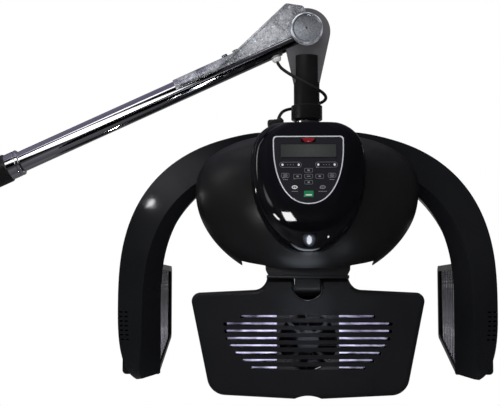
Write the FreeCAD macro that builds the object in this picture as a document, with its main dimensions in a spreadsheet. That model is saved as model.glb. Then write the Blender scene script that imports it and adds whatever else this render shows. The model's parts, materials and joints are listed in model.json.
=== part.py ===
"""Wall-arm hair colour processor: a swinging boom carries a hood with one centre heater and two side heaters.

Row frame: the origin is the centre of the wall plate's back face, +X runs away from the wall, +Z is up and the
control panel faces -Y. Lengths are in millimetres, angles in degrees.
"""
import FreeCAD, Part

import math
import os
import re

import Sketcher
from FreeCAD import Placement, Rotation, Vector

SIZES = {
    # wall plate and swivel socket
    "plate_width": 120, "plate_height": 190, "plate_thickness": 9, "plate_corner": 16,
    "plate_hole_radius": 4.5, "plate_hole_span_across": 84, "plate_hole_span_up": 150,
    "swivel_offset": 80, "socket_radius": 26, "socket_bottom": -78, "socket_top": 38,
    "web_half_height": 48, "web_thickness": 12, "spindle_radius": 15, "bush_wall": 3, "bush_length": 30,
    "bush_flange_radius": 23, "bush_flange": 3, "running_gap": 0.05, "seat_gap": 0.3,
    # shoulder fork
    "shoulder_height": 95, "fork_base_radius": 27, "fork_base_thickness": 10, "fork_ear_radius": 25,
    "fork_ear_thickness": 9, "shoulder_pin_radius": 7, "shoulder_cap_radius": 19, "shoulder_cap_thickness": 9,
    # boom
    "boom_length": 700, "boom_angle": 24.3, "boom_hub_radius": 21, "boom_hub_half_width": 20,
    "boom_shank_radius": 19, "boom_shank_end": 90, "sleeve_radius": 22, "sleeve_wall": 2.8,
    "sleeve_start": 30, "sleeve_end": 203, "collar_radius": 20, "collar_length": 21, "tube_radius": 16,
    "tube_wall": 2.5, "tube_start": 92, "tube_end_margin": 4, "tube_slot_reach": 47,
    # elbow bracket and pivot
    "cheek_half_width": 19.3, "cheek_tip": 155, "peak_back": 11.2, "peak_rise": 50.6, "brow_ahead": 10.5,
    "brow_rise": 36.2, "brow_foot": 21, "cheek_panel_inset": 3.2, "cheek_panel_depth": 0.8,
    "saddle_start": 215.5, "saddle_skin": 2.2, "boss_radius": 29, "boss_height": 2.2,
    "elbow_pin_radius": 8, "elbow_cap_radius": 24, "elbow_cap_thickness": 12, "screw_head_radius": 4.5,
    "screw_head_height": 3, "rivet_radius": 2.2, "screw_one": 128, "screw_two": 110, "rivet_one": 108,
    "rivet_two": 116,
    # post
    "post_head_radius": 36, "post_head_half_thickness": 10, "post_head_drop": 78, "post_radius": 19.5,
    "post_wall": 2.5, "post_top": 37, "post_collar_top": 112.4, "post_collar_bottom": 134.5,
    "post_collar_radius": 23.5, "post_shank_bottom": 88, "swivel_radius": 13,
    "swivel_top": 98, "swivel_ring_radius": 19.5,
    # head: dome, cover and chassis
    "dome_half_width": 169, "dome_top": 153, "dome_widest": 243, "dome_bottom": 382, "dome_upper_power": 2.45,
    "dome_lower_power": 1.9, "dome_back": 18, "dome_depth": 96, "dome_depth_power": 2.2, "dome_centre": 250,
    "dome_wall": 3, "lip_half_width": 98, "lip_side": 347, "lip_shoulder": 350, "lip_shoulder_half_width": 62,
    "lip_corner": 354.5, "lip_middle": 358.5, "cover_top": 150, "cover_bottom": 340, "cover_half_width": 83,
    "cover_widest": 222, "cover_upper_power": 3.2, "cover_lower_power": 1.95, "cover_back": -6,
    "cover_front_top": 84, "cover_front_belly": 112, "cover_belly": 285, "cover_front_bottom": 66,
    "cover_wall": 4, "cover_shoulder": 52, "cover_top_power": 4.4,
    "cover_power_fall": 2.1, "cover_crown_drop": 336, "bump_radius": 18, "bump_reach": 38, "bump_sink": 13.5,
    "panel_top": 171, "panel_length": 101, "panel_half_width": 50.5,
    "panel_tilt": 11, "panel_side": 12, "panel_side_power": 2.2, "panel_recess_gap": 0.2,
    "panel_front": 88, "panel_thickness": 1.6, "panel_corner": 5,
    "trim_width": 1.5, "trim_height": 0.8, "window_width": 79, "window_height": 19, "window_drop": 12.5,
    "window_height_proud": 0.6, "lamp_width": 21, "lamp_height": 6.5, "lamp_drop": 3, "board_thickness": 1.6,
    "board_gap": 8, "board_half_width": 34, "board_drop": 10, "board_length": 72, "pillar_radius": 2.5,
    "pillar_across": 28, "pillar_high": 16, "pillar_low": 74, "chassis_thickness": 3, "mount_block_half_width": 26,
    "mount_block_height": 14, "mount_stud_radius": 9.9, "mount_stud_length": 20, "stay_half_width": 15,
    "stay_top": 255, "stay_bottom": 300, "arm_hub_offset": 52, "arm_hub_drop": 205,
    "arm_pin_radius": 8, "arm_pin_head_radius": 14, "arm_pin_head": 4, "arm_hub_radius": 30,
    "rear_front": 66, "rear_depth": 24, "rear_half_width": 112, "rear_top": 164, "rear_bottom": 338,
    "shell_screw_radius": 3.5, "shell_screw_offset": 88, "neck_bottom": 369, "neck_bottom_half_width": 58,
    "neck_front": -28, "neck_back": 14, "tongue_half_width": 19, "tongue_radius": 13,
    # hinge of the centre heater
    "hinge_drop": 386, "hinge_y": 8, "hinge_pin_radius": 4, "hinge_lug_width": 12,
    "hinge_side_gap": 0.5, "neck_barrel_radius": 16, "centre_hood_drop": 378,
    # centre heater
    "centre_front": -15, "centre_split": 26, "centre_back": 60, "centre_wall": 3, "centre_neck_half_width": 60,
    "centre_neck_top": 370, "centre_flare_radius": 20, "centre_shoulder": 389, "centre_top_half_width": 175.5,
    "centre_top_corner": 394.5, "centre_top_radius": 13, "centre_low_half_width": 144.5,
    "centre_low_corner": 543.7, "centre_low_radius": 28, "centre_bottom": 551,
    "notch_half_width": 22, "notch_rise": 6, "centre_edge_round": 7, "slot_count": 8, "slot_pitch": 10.75,
    "slot_height": 4.6, "slot_top_drop": 429.5, "slot_mid_half_width": 125, "slot_top_half_width": 100,
    "slot_low_half_width": 84, "scoop_half_width": 24, "scoop_bottom": 405,
    "scoop_depth": 16, "window_half_width": 134, "window_upper": 410, "window_lower": 522,
    "window_corner": 18, "sheet_thickness": 1, "reflector_flare": 14, "fan_half": 46, "fan_depth": 20,
    "fan_bore": 43, "fan_hub_radius": 17, "fan_blade_count": 7, "fan_tip_gap": 1.5, "fan_drop": 466,
    "fan_front": -12, "fan_blade_thickness": 1.6, "fan_blade_pitch": 38, "lamp_radius": 5,
    "lamp_length": 236, "lamp_spread": 34, "lamp_y": 34, "holder_length": 16, "holder_half": 8,
    "guard_wire_radius": 1.25, "guard_pitch": 18,
    # side arms
    "arm_centre_drop": 418, "arm_power": 2.6, "arm_outer_reach": 293, "arm_outer_rise": 272,
  "arm_inner_reach": 226, "arm_inner_rise": 220,
    "arm_ridge_y": 30, "arm_root_y": 22, "arm_edge_y": 56, "arm_root_edge_y": 30, "arm_swell": 24,
    "arm_wall": 3, "arm_tip_drop": 530, "arm_tip_half_width": 247, "arm_root_angle": 82,
    "arm_blend_angle": 74, "arm_plug_angle": 5, "arm_link_inset": 5,
    "arm_vent_count": 7, "arm_vent_pitch": 7, "arm_vent_height": 2.4, "arm_vent_length": 7,
    "arm_vent_top": 424,
    # side heaters
    "side_inner": 229, "side_outer": 286, "side_front": 64, "side_back": 250, "side_top": 349,
    "side_low_front": 520, "side_low_back": 470, "side_wall": 3, "side_corner": 10, "side_rim": 9,
    "side_rim_thickness": 3, "side_lamp_length": 104, "side_lamp_spread": 32, "side_lamp_depth": 16,
    "side_tray_depth": 30, "side_tray_gap": 5, "side_guard_pitch": 17,
    # cord
    "cord_radius": 2.4, "grommet_radius": 7.5, "grommet_length": 7, "grommet_back": 58,
    "plug_radius": 8, "plug_length": 22, "socket_skin": 2, "socket_grip": 5,
}

doc = FreeCAD.newDocument("HairColourProcessor")
sheet = doc.addObject("Spreadsheet::Sheet", "Sizes")
for row, (alias, value) in enumerate(SIZES.items(), start=1):
    sheet.set(f"A{row}", alias)
    sheet.set(f"B{row}", str(value))
    sheet.setAlias(f"B{row}", alias)
doc.recompute()

X_AXIS, Y_AXIS, Z_AXIS = Vector(1, 0, 0), Vector(0, 1, 0), Vector(0, 0, 1)
NODES = []


class Cells:
    """The sheet's values as plain numbers: size.plate_width."""

    def __getattr__(self, alias):
        return float(sheet.get(alias))


size = Cells()

# Where things are, as sheet expressions for bound objects and as numbers for computed shapes.
POST_X = "swivel_offset + boom_length * cos(boom_angle * 1 deg)"
ELBOW_Z = "shoulder_height + boom_length * sin(boom_angle * 1 deg)"
POST = Vector(
    size.swivel_offset + size.boom_length * math.cos(math.radians(size.boom_angle)),
    0,
    size.shoulder_height + size.boom_length * math.sin(math.radians(size.boom_angle)),
)
HEAD_PLACE = Placement(POST, Rotation())
BOOM_PLACE = Placement(Vector(size.swivel_offset, 0, size.shoulder_height), Rotation(Y_AXIS, -size.boom_angle))


# ---------------------------------------------------------------- sheet, sketch and feature helpers
def cells(expression):
    """Turns bare aliases in an expression into references to the sheet."""
    return re.sub(r"[a-z_]+", lambda m: f"Sizes.{m[0]}" if m[0] in SIZES else m[0], expression)


def bind(thing, name, expression):
    thing.setExpression(name, cells(expression))


def bind_place(thing, x="0", y="0", z="0", axis="0; 0; 1", angle="0"):
    """Binds a whole Placement: base x, y, z and a turn about an axis."""
    base = f"create(<<vector>>; {x}; {y}; {z})"
    turn = f"create(<<rotation>>; create(<<vector>>; {axis}); {angle})"
    bind(thing, "Placement", f"create(<<placement>>; {base}; {turn})")


def keep(thing, label):
    thing.Label = label
    NODES.append(thing)
    return thing


def new_body(label):
    return keep(doc.addObject("PartDesign::Body", label + "_body"), label)


def new_sketch(body, role, offset="0"):
    sketch = body.newObject("Sketcher::SketchObject", "profile")
    plane = next(o for o in body.Origin.OriginFeatures if o.Role == role)
    sketch.AttachmentSupport = (plane, [""])
    sketch.MapMode = "FlatFace"
    bind(sketch, "AttachmentOffset.Base.z", offset)
    return sketch


def draw_polygon(sketch, corners):
    """Draws a closed polygon whose corners are pairs of sheet expressions."""
    first = sketch.GeometryCount
    spots = [Vector(*(float(sketch.evalExpression(cells(e))) for e in corner)) for corner in corners]
    for here, there in zip(spots, spots[1:] + spots[:1]):
        sketch.addGeometry(Part.LineSegment(here, there), False)
    for k, corner in enumerate(corners):
        after = first + (k + 1) % len(corners)
        sketch.addConstraint(Sketcher.Constraint("Coincident", first + k, 2, after, 1))
        for kind, expression, value in zip(("DistanceX", "DistanceY"), corner, spots[k]):
            number = sketch.addConstraint(Sketcher.Constraint(kind, -1, 1, first + k, 1, value))
            bind(sketch, f"Constraints[{number}]", expression)
    return sketch


def draw_circle(sketch, radius, across="0", up="0"):
    """Draws a circle with its radius and centre given as sheet expressions."""
    spot = [float(sketch.evalExpression(cells(e))) for e in (across, up)]
    number = sketch.addGeometry(Part.Circle(Vector(*spot), Z_AXIS, 5), False)
    for kind, expression, value in zip(("DistanceX", "DistanceY"), (across, up), spot):
        place = sketch.addConstraint(Sketcher.Constraint(kind, -1, 1, number, 3, value))
        bind(sketch, f"Constraints[{place}]", expression)
    bind(sketch, f"Constraints[{sketch.addConstraint(Sketcher.Constraint('Radius', number, 5))}]", radius)
    return sketch


def add_pad(body, sketch, length, midplane=False, back=False):
    pad = body.newObject("PartDesign::Pad", "pad")
    pad.Profile = sketch
    pad.SideType = 2 if midplane else 0
    pad.Reversed = back
    bind(pad, "Length", length)
    return pad


def add_pocket(body, sketch):
    """Cuts a sketch right through the body, both ways."""
    pocket = body.newObject("PartDesign::Pocket", "pocket")
    pocket.Profile = sketch
    pocket.Type = "ThroughAll"
    pocket.SideType = 2
    return pocket


def add_turn(body, sketch, kind="Revolution"):
    """Turns a sketch once about its own vertical axis."""
    turned = body.newObject(f"PartDesign::{kind}", "turned")
    turned.Profile = sketch
    turned.ReferenceAxis = (sketch, ["V_Axis"])
    turned.Angle = 360
    return turned


def turned_body(label, corners, **place):
    """A body made by turning one closed (radius, height) outline about the vertical axis."""
    body = new_body(label)
    add_turn(body, draw_polygon(new_sketch(body, "XZ_Plane"), corners))
    bind_place(body, **place)
    return body


def soften_edges(body, choose, amount, kind="Fillet"):
    """Rounds or bevels the edges of the body's last feature that choose(edge) picks."""
    doc.recompute()
    base = body.Tip
    names = [f"Edge{k}" for k, edge in enumerate(base.Shape.Edges, start=1) if choose(edge)]
    soft = body.newObject(f"PartDesign::{kind}", "soft")
    soft.Base = (base, names)
    bind(soft, "Radius" if kind == "Fillet" else "Size", amount)
    return soft


def add_feature(label, solid, place=None):
    """Keeps a computed solid as one node."""
    thing = doc.addObject("Part::Feature", label)
    thing.Shape = solid
    if place is not None:
        thing.Placement = place.multiply(solid.Placement)
    return keep(thing, label)


# ---------------------------------------------------------------- plain solid helpers
def rod(radius, start, finish):
    """A cylinder from one point to another."""
    run = finish - start
    return Part.makeCylinder(radius, run.Length, start, run)


def ring(radius, bore, start, finish):
    return rod(radius, start, finish).cut(rod(bore, start, finish))


def turned(profile, axis, origin=Vector(), radial=X_AXIS):
    """Turns (radius, distance along the axis) pairs into a solid."""
    spots = [origin + radial * r + axis * a for r, a in profile]
    return Part.Face(Part.makePolygon(spots + spots[:1])).revolve(origin, axis, 360)


def block(x_low, x_high, y_low, y_high, z_low, z_high):
    return Part.makeBox(x_high - x_low, y_high - y_low, z_high - z_low, Vector(x_low, y_low, z_low))


def prism(outline, front, back):
    """A closed (x, z) outline extruded from y = front to y = back."""
    spots = [Vector(x, front, z) for x, z in outline]
    return Part.Face(Part.makePolygon(spots + spots[:1])).extrude(Vector(0, back - front, 0))


def rounded(solid, radius, choose):
    return solid.makeFillet(radius, [edge for edge in solid.Edges if choose(edge)])


def runs_along(edge, axis):
    if not isinstance(edge.Curve, Part.Line):
        return False
    return abs(abs(edge.Curve.Direction.dot(axis)) - 1) < 1e-6


def superellipse(across, up, power, turn):
    """The point of a superellipse quarter at a turn of 0 (sideways) to 90 degrees (top)."""
    bend = 2 / power
    angle = math.radians(turn)
    return across * max(math.cos(angle), 0) ** bend, up * max(math.sin(angle), 0) ** bend


def closed_curve(spots):
    curve = Part.BSplineCurve()
    curve.interpolate(spots, PeriodicFlag=True)
    return Part.Wire(curve.toShape())


def mirrored(solid):
    return solid.mirror(Vector(), X_AXIS)


# ---------------------------------------------------------------- wall bracket
def make_wall_plate():
    body = new_body("wall_plate")
    half_width, half_height = "plate_width / 2", "plate_height / 2"
    plate = new_sketch(body, "YZ_Plane")
    draw_polygon(plate, [(f"-{half_width}", f"-{half_height}"), (half_width, f"-{half_height}"),
                         (half_width, half_height), (f"-{half_width}", half_height)])
    add_pad(body, plate, "plate_thickness")
    soften_edges(body, lambda edge: runs_along(edge, X_AXIS), "plate_corner")
    socket = draw_circle(new_sketch(body, "XY_Plane", "socket_bottom"), "socket_radius", "swivel_offset")
    add_pad(body, socket, "socket_top - socket_bottom")
    web = new_sketch(body, "XZ_Plane")
    reach = "swivel_offset - spindle_radius - bush_wall"
    draw_polygon(web, [("plate_thickness / 2", "socket_bottom"), (reach, "socket_bottom + socket_radius / 2"),
                       (reach, "socket_top - socket_radius / 2"), ("plate_thickness / 2", "web_half_height")])
    add_pad(body, web, "web_thickness", midplane=True)
    bore = draw_circle(new_sketch(body, "XY_Plane"), "spindle_radius + bush_wall", "swivel_offset")
    add_pocket(body, bore)
    holes = new_sketch(body, "YZ_Plane")
    for side in ("-", ""):
        for end in ("-", ""):
            draw_circle(holes, "plate_hole_radius", f"{side}plate_hole_span_across / 2",
                        f"{end}plate_hole_span_up / 2")
    add_pocket(body, holes)


def make_socket_bushes():
    inner, outer = size.spindle_radius + size.running_gap, size.spindle_radius + size.bush_wall
    bushes = []
    for end, way in ((size.socket_top, -1), (size.socket_bottom, 1)):
        profile = [(inner, -way * size.bush_flange), (size.bush_flange_radius, -way * size.bush_flange),
                   (size.bush_flange_radius, 0), (outer, 0), (outer, way * size.bush_length),
                   (inner, way * size.bush_length)]
        bushes.append(turned(profile, Z_AXIS, Vector(size.swivel_offset, 0, end)))
    add_feature("socket_bushes", Part.makeCompound(bushes))


# ---------------------------------------------------------------- shoulder
def make_shoulder_fork():
    base = "socket_top + bush_flange + seat_gap"
    top = f"{base} + fork_base_thickness"
    foot = "socket_bottom - bush_flange - seat_gap"
    body = new_body("shoulder_fork")
    spindle = new_sketch(body, "XZ_Plane")
    draw_polygon(spindle, [("0", f"{foot} - fork_base_thickness / 2"), ("spindle_radius + bush_wall",
                           f"{foot} - fork_base_thickness / 2"), ("spindle_radius + bush_wall", foot),
                           ("spindle_radius", foot), ("spindle_radius", base), ("fork_base_radius", base),
                           ("fork_base_radius", top), ("0", top)])
    add_turn(body, spindle)
    for side in (1, -1):
        gap = "boom_hub_half_width + seat_gap"
        # the sketch plane XZ faces -Y, so a positive offset lies on the -Y side
        ear = new_sketch(body, "XZ_Plane", gap if side > 0 else f"-({gap}) - fork_ear_thickness")
        draw_polygon(ear, [("-fork_ear_radius * 0.92", f"{base} + 1"), ("fork_ear_radius * 0.92", f"{base} + 1"),
                           ("fork_ear_radius", "shoulder_height"), ("-fork_ear_radius", "shoulder_height")])
        add_pad(body, ear, "fork_ear_thickness")
        crown = new_sketch(body, "XZ_Plane", gap if side > 0 else f"-({gap}) - fork_ear_thickness")
        add_pad(body, draw_circle(crown, "fork_ear_radius", "0", "shoulder_height"), "fork_ear_thickness")
    bore = draw_circle(new_sketch(body, "XZ_Plane"), "shoulder_pin_radius", "0", "shoulder_height")
    add_pocket(body, bore)
    bind_place(body, "swivel_offset")


def make_shoulder_pin():
    """A plain pin pressed in the ears, running in the boom's hub."""
    pin = doc.addObject("Part::Cylinder", "shoulder_pin")
    half = "(boom_hub_half_width + seat_gap + fork_ear_thickness)"
    bind(pin, "Radius", "shoulder_pin_radius")
    bind(pin, "Height", f"2 * {half}")
    bind_place(pin, "swivel_offset", half, "shoulder_height", "1; 0; 0", "90")
    keep(pin, "shoulder_pin")


def cap_profile(radius, thickness):
    """A turned cap: stepped rim, shallow dished face and a small centre dimple."""
    return [(0, 0), (radius, 0), (radius, thickness * 0.82), (radius * 0.93, thickness),
            (radius * 0.86, thickness), (radius * 0.82, thickness * 0.93), (radius * 0.08, thickness * 0.97),
            (0, thickness * 0.9)]


def pair_of_caps(radius, thickness, inner_face, centre):
    caps = [turned(cap_profile(radius, thickness), Y_AXIS * way, centre + Y_AXIS * way * inner_face)
            for way in (-1, 1)]
    return Part.makeCompound(caps)


def make_shoulder_caps():
    face = size.boom_hub_half_width + size.seat_gap + size.fork_ear_thickness
    centre = Vector(size.swivel_offset, 0, size.shoulder_height)
    add_feature("shoulder_caps", pair_of_caps(size.shoulder_cap_radius, size.shoulder_cap_thickness, face, centre))


# ---------------------------------------------------------------- boom (local x runs along it from the shoulder)
def make_boom_hub():
    half = size.boom_hub_half_width
    hub = rod(size.boom_hub_radius, Vector(0, -half, 0), Vector(0, half, 0))
    shank = rod(size.boom_shank_radius, Vector(), Vector(size.boom_shank_end, 0, 0))
    bore_radius = size.shoulder_pin_radius + size.running_gap
    bore = rod(bore_radius, Vector(0, -half, 0), Vector(0, half, 0))
    add_feature("boom_hub", hub.fuse(shank).cut(bore), BOOM_PLACE)


def boom_turned(label, corners):
    """A turned body whose axis is the boom; corners are (radius, distance along the boom)."""
    return turned_body(label, corners, x="swivel_offset", z="shoulder_height", axis="0; 1; 0",
                       angle="90 - boom_angle")


def make_boom_sleeve():
    inner = "sleeve_radius - sleeve_wall"
    boom_turned("boom_sleeve", [(inner, "sleeve_start"), ("sleeve_radius - 1", "sleeve_start"),
                                ("sleeve_radius", "sleeve_start + 1.5"), ("sleeve_radius", "sleeve_end - 1.5"),
                                ("sleeve_radius - 1", "sleeve_end"), (inner, "sleeve_end")])


def make_boom_collar():
    finish = "sleeve_end + collar_length"
    boom_turned("boom_collar", [("tube_radius", "sleeve_end"), ("collar_radius", "sleeve_end"),
                                ("collar_radius", f"{finish} - 7"), ("collar_radius - 0.8", f"{finish} - 6.5"),
                                ("collar_radius - 0.8", f"{finish} - 5.5"), ("collar_radius", f"{finish} - 5"),
                                ("collar_radius", f"{finish} - 1.5"), ("collar_radius - 1.5", finish),
                                ("tube_radius", finish)])


def boom_cylinder(name, radius, start, finish):
    cylinder = doc.addObject("Part::Cylinder", name)
    bind(cylinder, "Radius", radius)
    bind(cylinder, "Height", f"{finish} - ({start})")
    along = f"({start})"
    bind_place(cylinder, f"swivel_offset + {along} * cos(boom_angle * 1 deg)", "0",
               f"shoulder_height + {along} * sin(boom_angle * 1 deg)", "0; 1; 0", "90 - boom_angle")
    return cylinder


def make_boom_tube():
    """The chrome tube; its far end is slotted to straddle the post head."""
    finish = "boom_length - tube_end_margin"
    skin = boom_cylinder("tube_skin", "tube_radius", "tube_start", finish)
    core = boom_cylinder("tube_core", "tube_radius - tube_wall", "tube_start", finish)
    pipe = doc.addObject("Part::Cut", "tube_pipe")
    pipe.Base, pipe.Tool = skin, core
    slot = doc.addObject("Part::Box", "tube_slot")
    bind(slot, "Length", "tube_slot_reach + post_head_radius")
    bind(slot, "Width", "2 * (post_head_half_thickness + seat_gap)")
    bind(slot, "Height", "4 * tube_radius")
    along = "(boom_length - tube_slot_reach)"
    bind_place(slot, f"swivel_offset + {along} * cos(boom_angle * 1 deg) + 2 * tube_radius * sin(boom_angle * 1 deg)",
               "-post_head_half_thickness - seat_gap",
               f"shoulder_height + {along} * sin(boom_angle * 1 deg) - 2 * tube_radius * cos(boom_angle * 1 deg)",
               "0; 1; 0", "-boom_angle")
    slotted = doc.addObject("Part::Cut", "tube_slotted")
    slotted.Base, slotted.Tool = pipe, slot
    pin_bore = doc.addObject("Part::Cylinder", "tube_pin_bore")
    bind(pin_bore, "Radius", "elbow_pin_radius")
    bind(pin_bore, "Height", "4 * tube_radius")
    bind_place(pin_bore, POST_X, "2 * tube_radius", ELBOW_Z, "1; 0; 0", "90")
    tube = doc.addObject("Part::Cut", "boom_tube")
    tube.Base, tube.Tool = slotted, pin_bore
    keep(tube, "boom_tube")


def cheek_outline(inset=0.0):
    """The peaked side of the elbow bracket, in boom coordinates seen from the side."""
    elbow = size.boom_length
    outline = [(elbow - size.cheek_tip, 0), (elbow - size.peak_back, size.peak_rise),
               (elbow + size.brow_ahead, size.brow_rise), (elbow + size.brow_ahead + 1.5, size.brow_foot),
               (elbow + size.brow_ahead + 1.5, 0)]
    if not inset:
        return outline
    wire = Part.makePolygon([Vector(x, z, 0) for x, z in outline + outline[:1]])
    inner = wire.makeOffset2D(-inset)
    return [(vertex.X, vertex.Y) for vertex in inner.OrderedVertexes]


def make_elbow_bracket():
    """A casting: a half-round saddle over the tube that grows into a peaked, rimmed cheek on each side."""
    half, elbow = size.cheek_half_width, size.boom_length
    body = rounded(prism(cheek_outline(), -half, half), 6, lambda edge: runs_along(edge, Y_AXIS)
                   and edge.CenterOfMass.z > size.brow_rise / 2)
    saddle_radius = size.tube_radius + size.saddle_skin
    saddle = rod(saddle_radius, Vector(elbow - size.saddle_start, 0, 0), Vector(elbow, 0, 0))
    upper = block(elbow - size.saddle_start, elbow, -saddle_radius, saddle_radius, 0, saddle_radius)
    pivot_stub = rod(size.elbow_pin_radius + 8, Vector(elbow, -half, 0), Vector(elbow, half, 0))
    bracket = body.fuse(saddle.common(upper)).fuse(pivot_stub)
    reach = elbow + size.post_head_radius + size.tube_slot_reach
    bracket = bracket.cut(rod(size.tube_radius, Vector(0, 0, 0), Vector(reach, 0, 0)))
    slot = size.post_head_half_thickness + size.seat_gap
    swing = rod(size.post_head_radius + 1.5, Vector(elbow, -slot, 0), Vector(elbow, slot, 0))
    bracket = bracket.cut(swing).cut(block(elbow, reach, -slot, slot, -reach, reach))
    inset = cheek_outline(size.cheek_panel_inset)
    for way in (-1, 1):
        face = way * half
        recess = prism(inset, face - way * size.cheek_panel_depth, face + way)
        boss = rod(size.boss_radius, Vector(elbow, face - way, 0), Vector(elbow, face + way * size.boss_height, 0))
        boss = boss.common(prism(cheek_outline(), face - way * 2, face + way * 4))
        hub = rod(size.elbow_pin_radius + 8, Vector(elbow, face - way, 0),
                  Vector(elbow, face + way * size.boss_height, 0))
        bracket = bracket.cut(recess).fuse(boss).fuse(hub)
    bracket = bracket.cut(rod(size.elbow_pin_radius, Vector(elbow, -2 * half, 0), Vector(elbow, 2 * half, 0)))
    for along in (size.screw_one, size.screw_two):
        spot = elbow - along
        top = bracket_top(along)
        bracket = bracket.cut(rod(size.screw_head_radius * 0.5, Vector(spot, 0, top - 2), Vector(spot, 0, top + 9)))
    for along in (size.rivet_one, size.rivet_two):
        spot = Vector(elbow - along, 0, rivet_height())
        for way in (-1, 1):
            bracket = bracket.cut(rod(size.rivet_radius * 0.6, spot + Y_AXIS * way * (half - 3),
                                      spot + Y_AXIS * way * (half + 3)))
    add_feature("elbow_bracket", bracket.removeSplitter(), BOOM_PLACE)


def bracket_top(along):
    """Height of the bracket's ridge above the boom's axis, at a distance back from the elbow."""
    slope = size.peak_rise / (size.cheek_tip - size.peak_back)
    return max(size.tube_radius + size.saddle_skin, slope * (size.cheek_tip - along))


def rivet_height():
    return size.tube_radius * 0.45


def make_bracket_fixings():
    """Two cap screws on the ridge and two rivets in each cheek."""
    half, elbow, pieces = size.cheek_half_width, size.boom_length, []
    for along in (size.screw_one, size.screw_two):
        foot = Vector(elbow - along, 0, bracket_top(along))
        head = rod(size.screw_head_radius, foot, foot + Z_AXIS * size.screw_head_height)
        pieces.append(head.fuse(rod(size.screw_head_radius * 0.5, foot - Z_AXIS * 2, foot)))
    for along in (size.rivet_one, size.rivet_two):
        for way in (-1, 1):
            face = Vector(elbow - along, way * (half - size.cheek_panel_depth), rivet_height())
            head = rod(size.rivet_radius, face, face + Y_AXIS * way * 1.6)
            pieces.append(head.fuse(rod(size.rivet_radius * 0.6, face - Y_AXIS * way * 2, face)))
    add_feature("bracket_fixings", Part.makeCompound(pieces), BOOM_PLACE)


def make_cord_grommet():
    """A white bush under the boom, where the cord leaves it."""
    spot = Vector(size.boom_length - size.grommet_back, 0, -size.tube_radius + 1)
    outer, bore = size.grommet_radius, size.cord_radius
    profile = [(bore, 0), (outer * 0.8, 0), (outer, 2), (outer, 3.5), (outer * 0.7, size.grommet_length),
               (bore, size.grommet_length)]
    grommet = turned(profile, -Z_AXIS, spot)
    tube = rod(size.tube_radius, Vector(0, 0, 0), Vector(size.boom_length, 0, 0))
    add_feature("cord_grommet", grommet.cut(tube), BOOM_PLACE)


def make_elbow_pin():
    """The clamp bolt's shank, fixed in the bracket and running in the post head."""
    pin = doc.addObject("Part::Cylinder", "elbow_pin")
    half = "(cheek_half_width + boss_height)"
    bind(pin, "Radius", "elbow_pin_radius")
    bind(pin, "Height", f"2 * {half}")
    bind_place(pin, POST_X, half, ELBOW_Z, "1; 0; 0", "90")
    keep(pin, "elbow_pin")


def make_elbow_caps():
    face = size.cheek_half_width + size.boss_height
    add_feature("elbow_caps", pair_of_caps(size.elbow_cap_radius, size.elbow_cap_thickness, face, POST))


# ---------------------------------------------------------------- post (head coordinates: origin at the elbow pivot)
def post_head_outline():
    """A teardrop: a round eye whose two tangents run down to the tube's width."""
    eye, foot, drop = size.post_head_radius, size.post_radius, size.post_head_drop
    turn = math.atan2(-drop, foot) + math.acos(eye / math.hypot(foot, drop))
    right = [Vector(eye * math.cos(turn), 0, eye * math.sin(turn)), Vector(foot, 0, -drop)]
    left = [Vector(-spot.x, 0, spot.z) for spot in right]
    edges = [Part.Arc(right[0], Vector(0, 0, eye), left[0]).toShape(), Part.makeLine(left[0], left[1]),
             Part.makeLine(left[1], right[1]), Part.makeLine(right[1], right[0])]
    return Part.Face(Part.Wire(edges))


def post_head_plate(half_thickness):
    outline = post_head_outline()
    outline.translate(Vector(0, -half_thickness, 0))
    return outline.extrude(Vector(0, 2 * half_thickness, 0))


def make_post_head():
    """The teardrop eye with a round shank that plugs the tube."""
    half = size.post_head_half_thickness
    plate = post_head_plate(half)
    shank = rod(size.post_radius - size.post_wall, Vector(0, 0, -size.post_top - 4),
                Vector(0, 0, -size.post_shank_bottom))
    bore = rod(size.elbow_pin_radius + size.running_gap, Vector(0, -half, 0), Vector(0, half, 0))
    add_feature("post_head", plate.fuse(shank).cut(bore), HEAD_PLACE)


def make_post_tube():
    bottom = -size.post_collar_bottom + 9
    tube = ring(size.post_radius, size.post_radius - size.post_wall, Vector(0, 0, -size.post_top),
                Vector(0, 0, bottom))
    add_feature("post_tube", tube.cut(post_head_plate(size.post_head_half_thickness)), HEAD_PLACE)


def make_post_collar():
    turned_body("post_collar", [
        ("post_radius", "-post_collar_top"), ("post_collar_radius - 1", "-post_collar_top"),
        ("post_collar_radius", "-post_collar_top - 1"), ("post_collar_radius", "1 - post_collar_bottom"),
        ("post_collar_radius - 1", "-post_collar_bottom"), ("post_radius - post_wall", "-post_collar_bottom"),
        ("post_radius - post_wall", "9 - post_collar_bottom"), ("post_radius", "9 - post_collar_bottom")],
        x=POST_X, z=ELBOW_Z)


def make_swivel_bush():
    turned_body("swivel_bush", [
        ("swivel_radius + running_gap", "-swivel_top - 2"), ("post_radius - post_wall", "-swivel_top - 2"),
        ("post_radius - post_wall", "-post_collar_bottom"), ("post_radius - 1", "-post_collar_bottom"),
        ("post_radius - 1", "-post_collar_bottom - 1.2"),
        ("swivel_radius + running_gap", "-post_collar_bottom - 1.2")], x=POST_X, z=ELBOW_Z)


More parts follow.
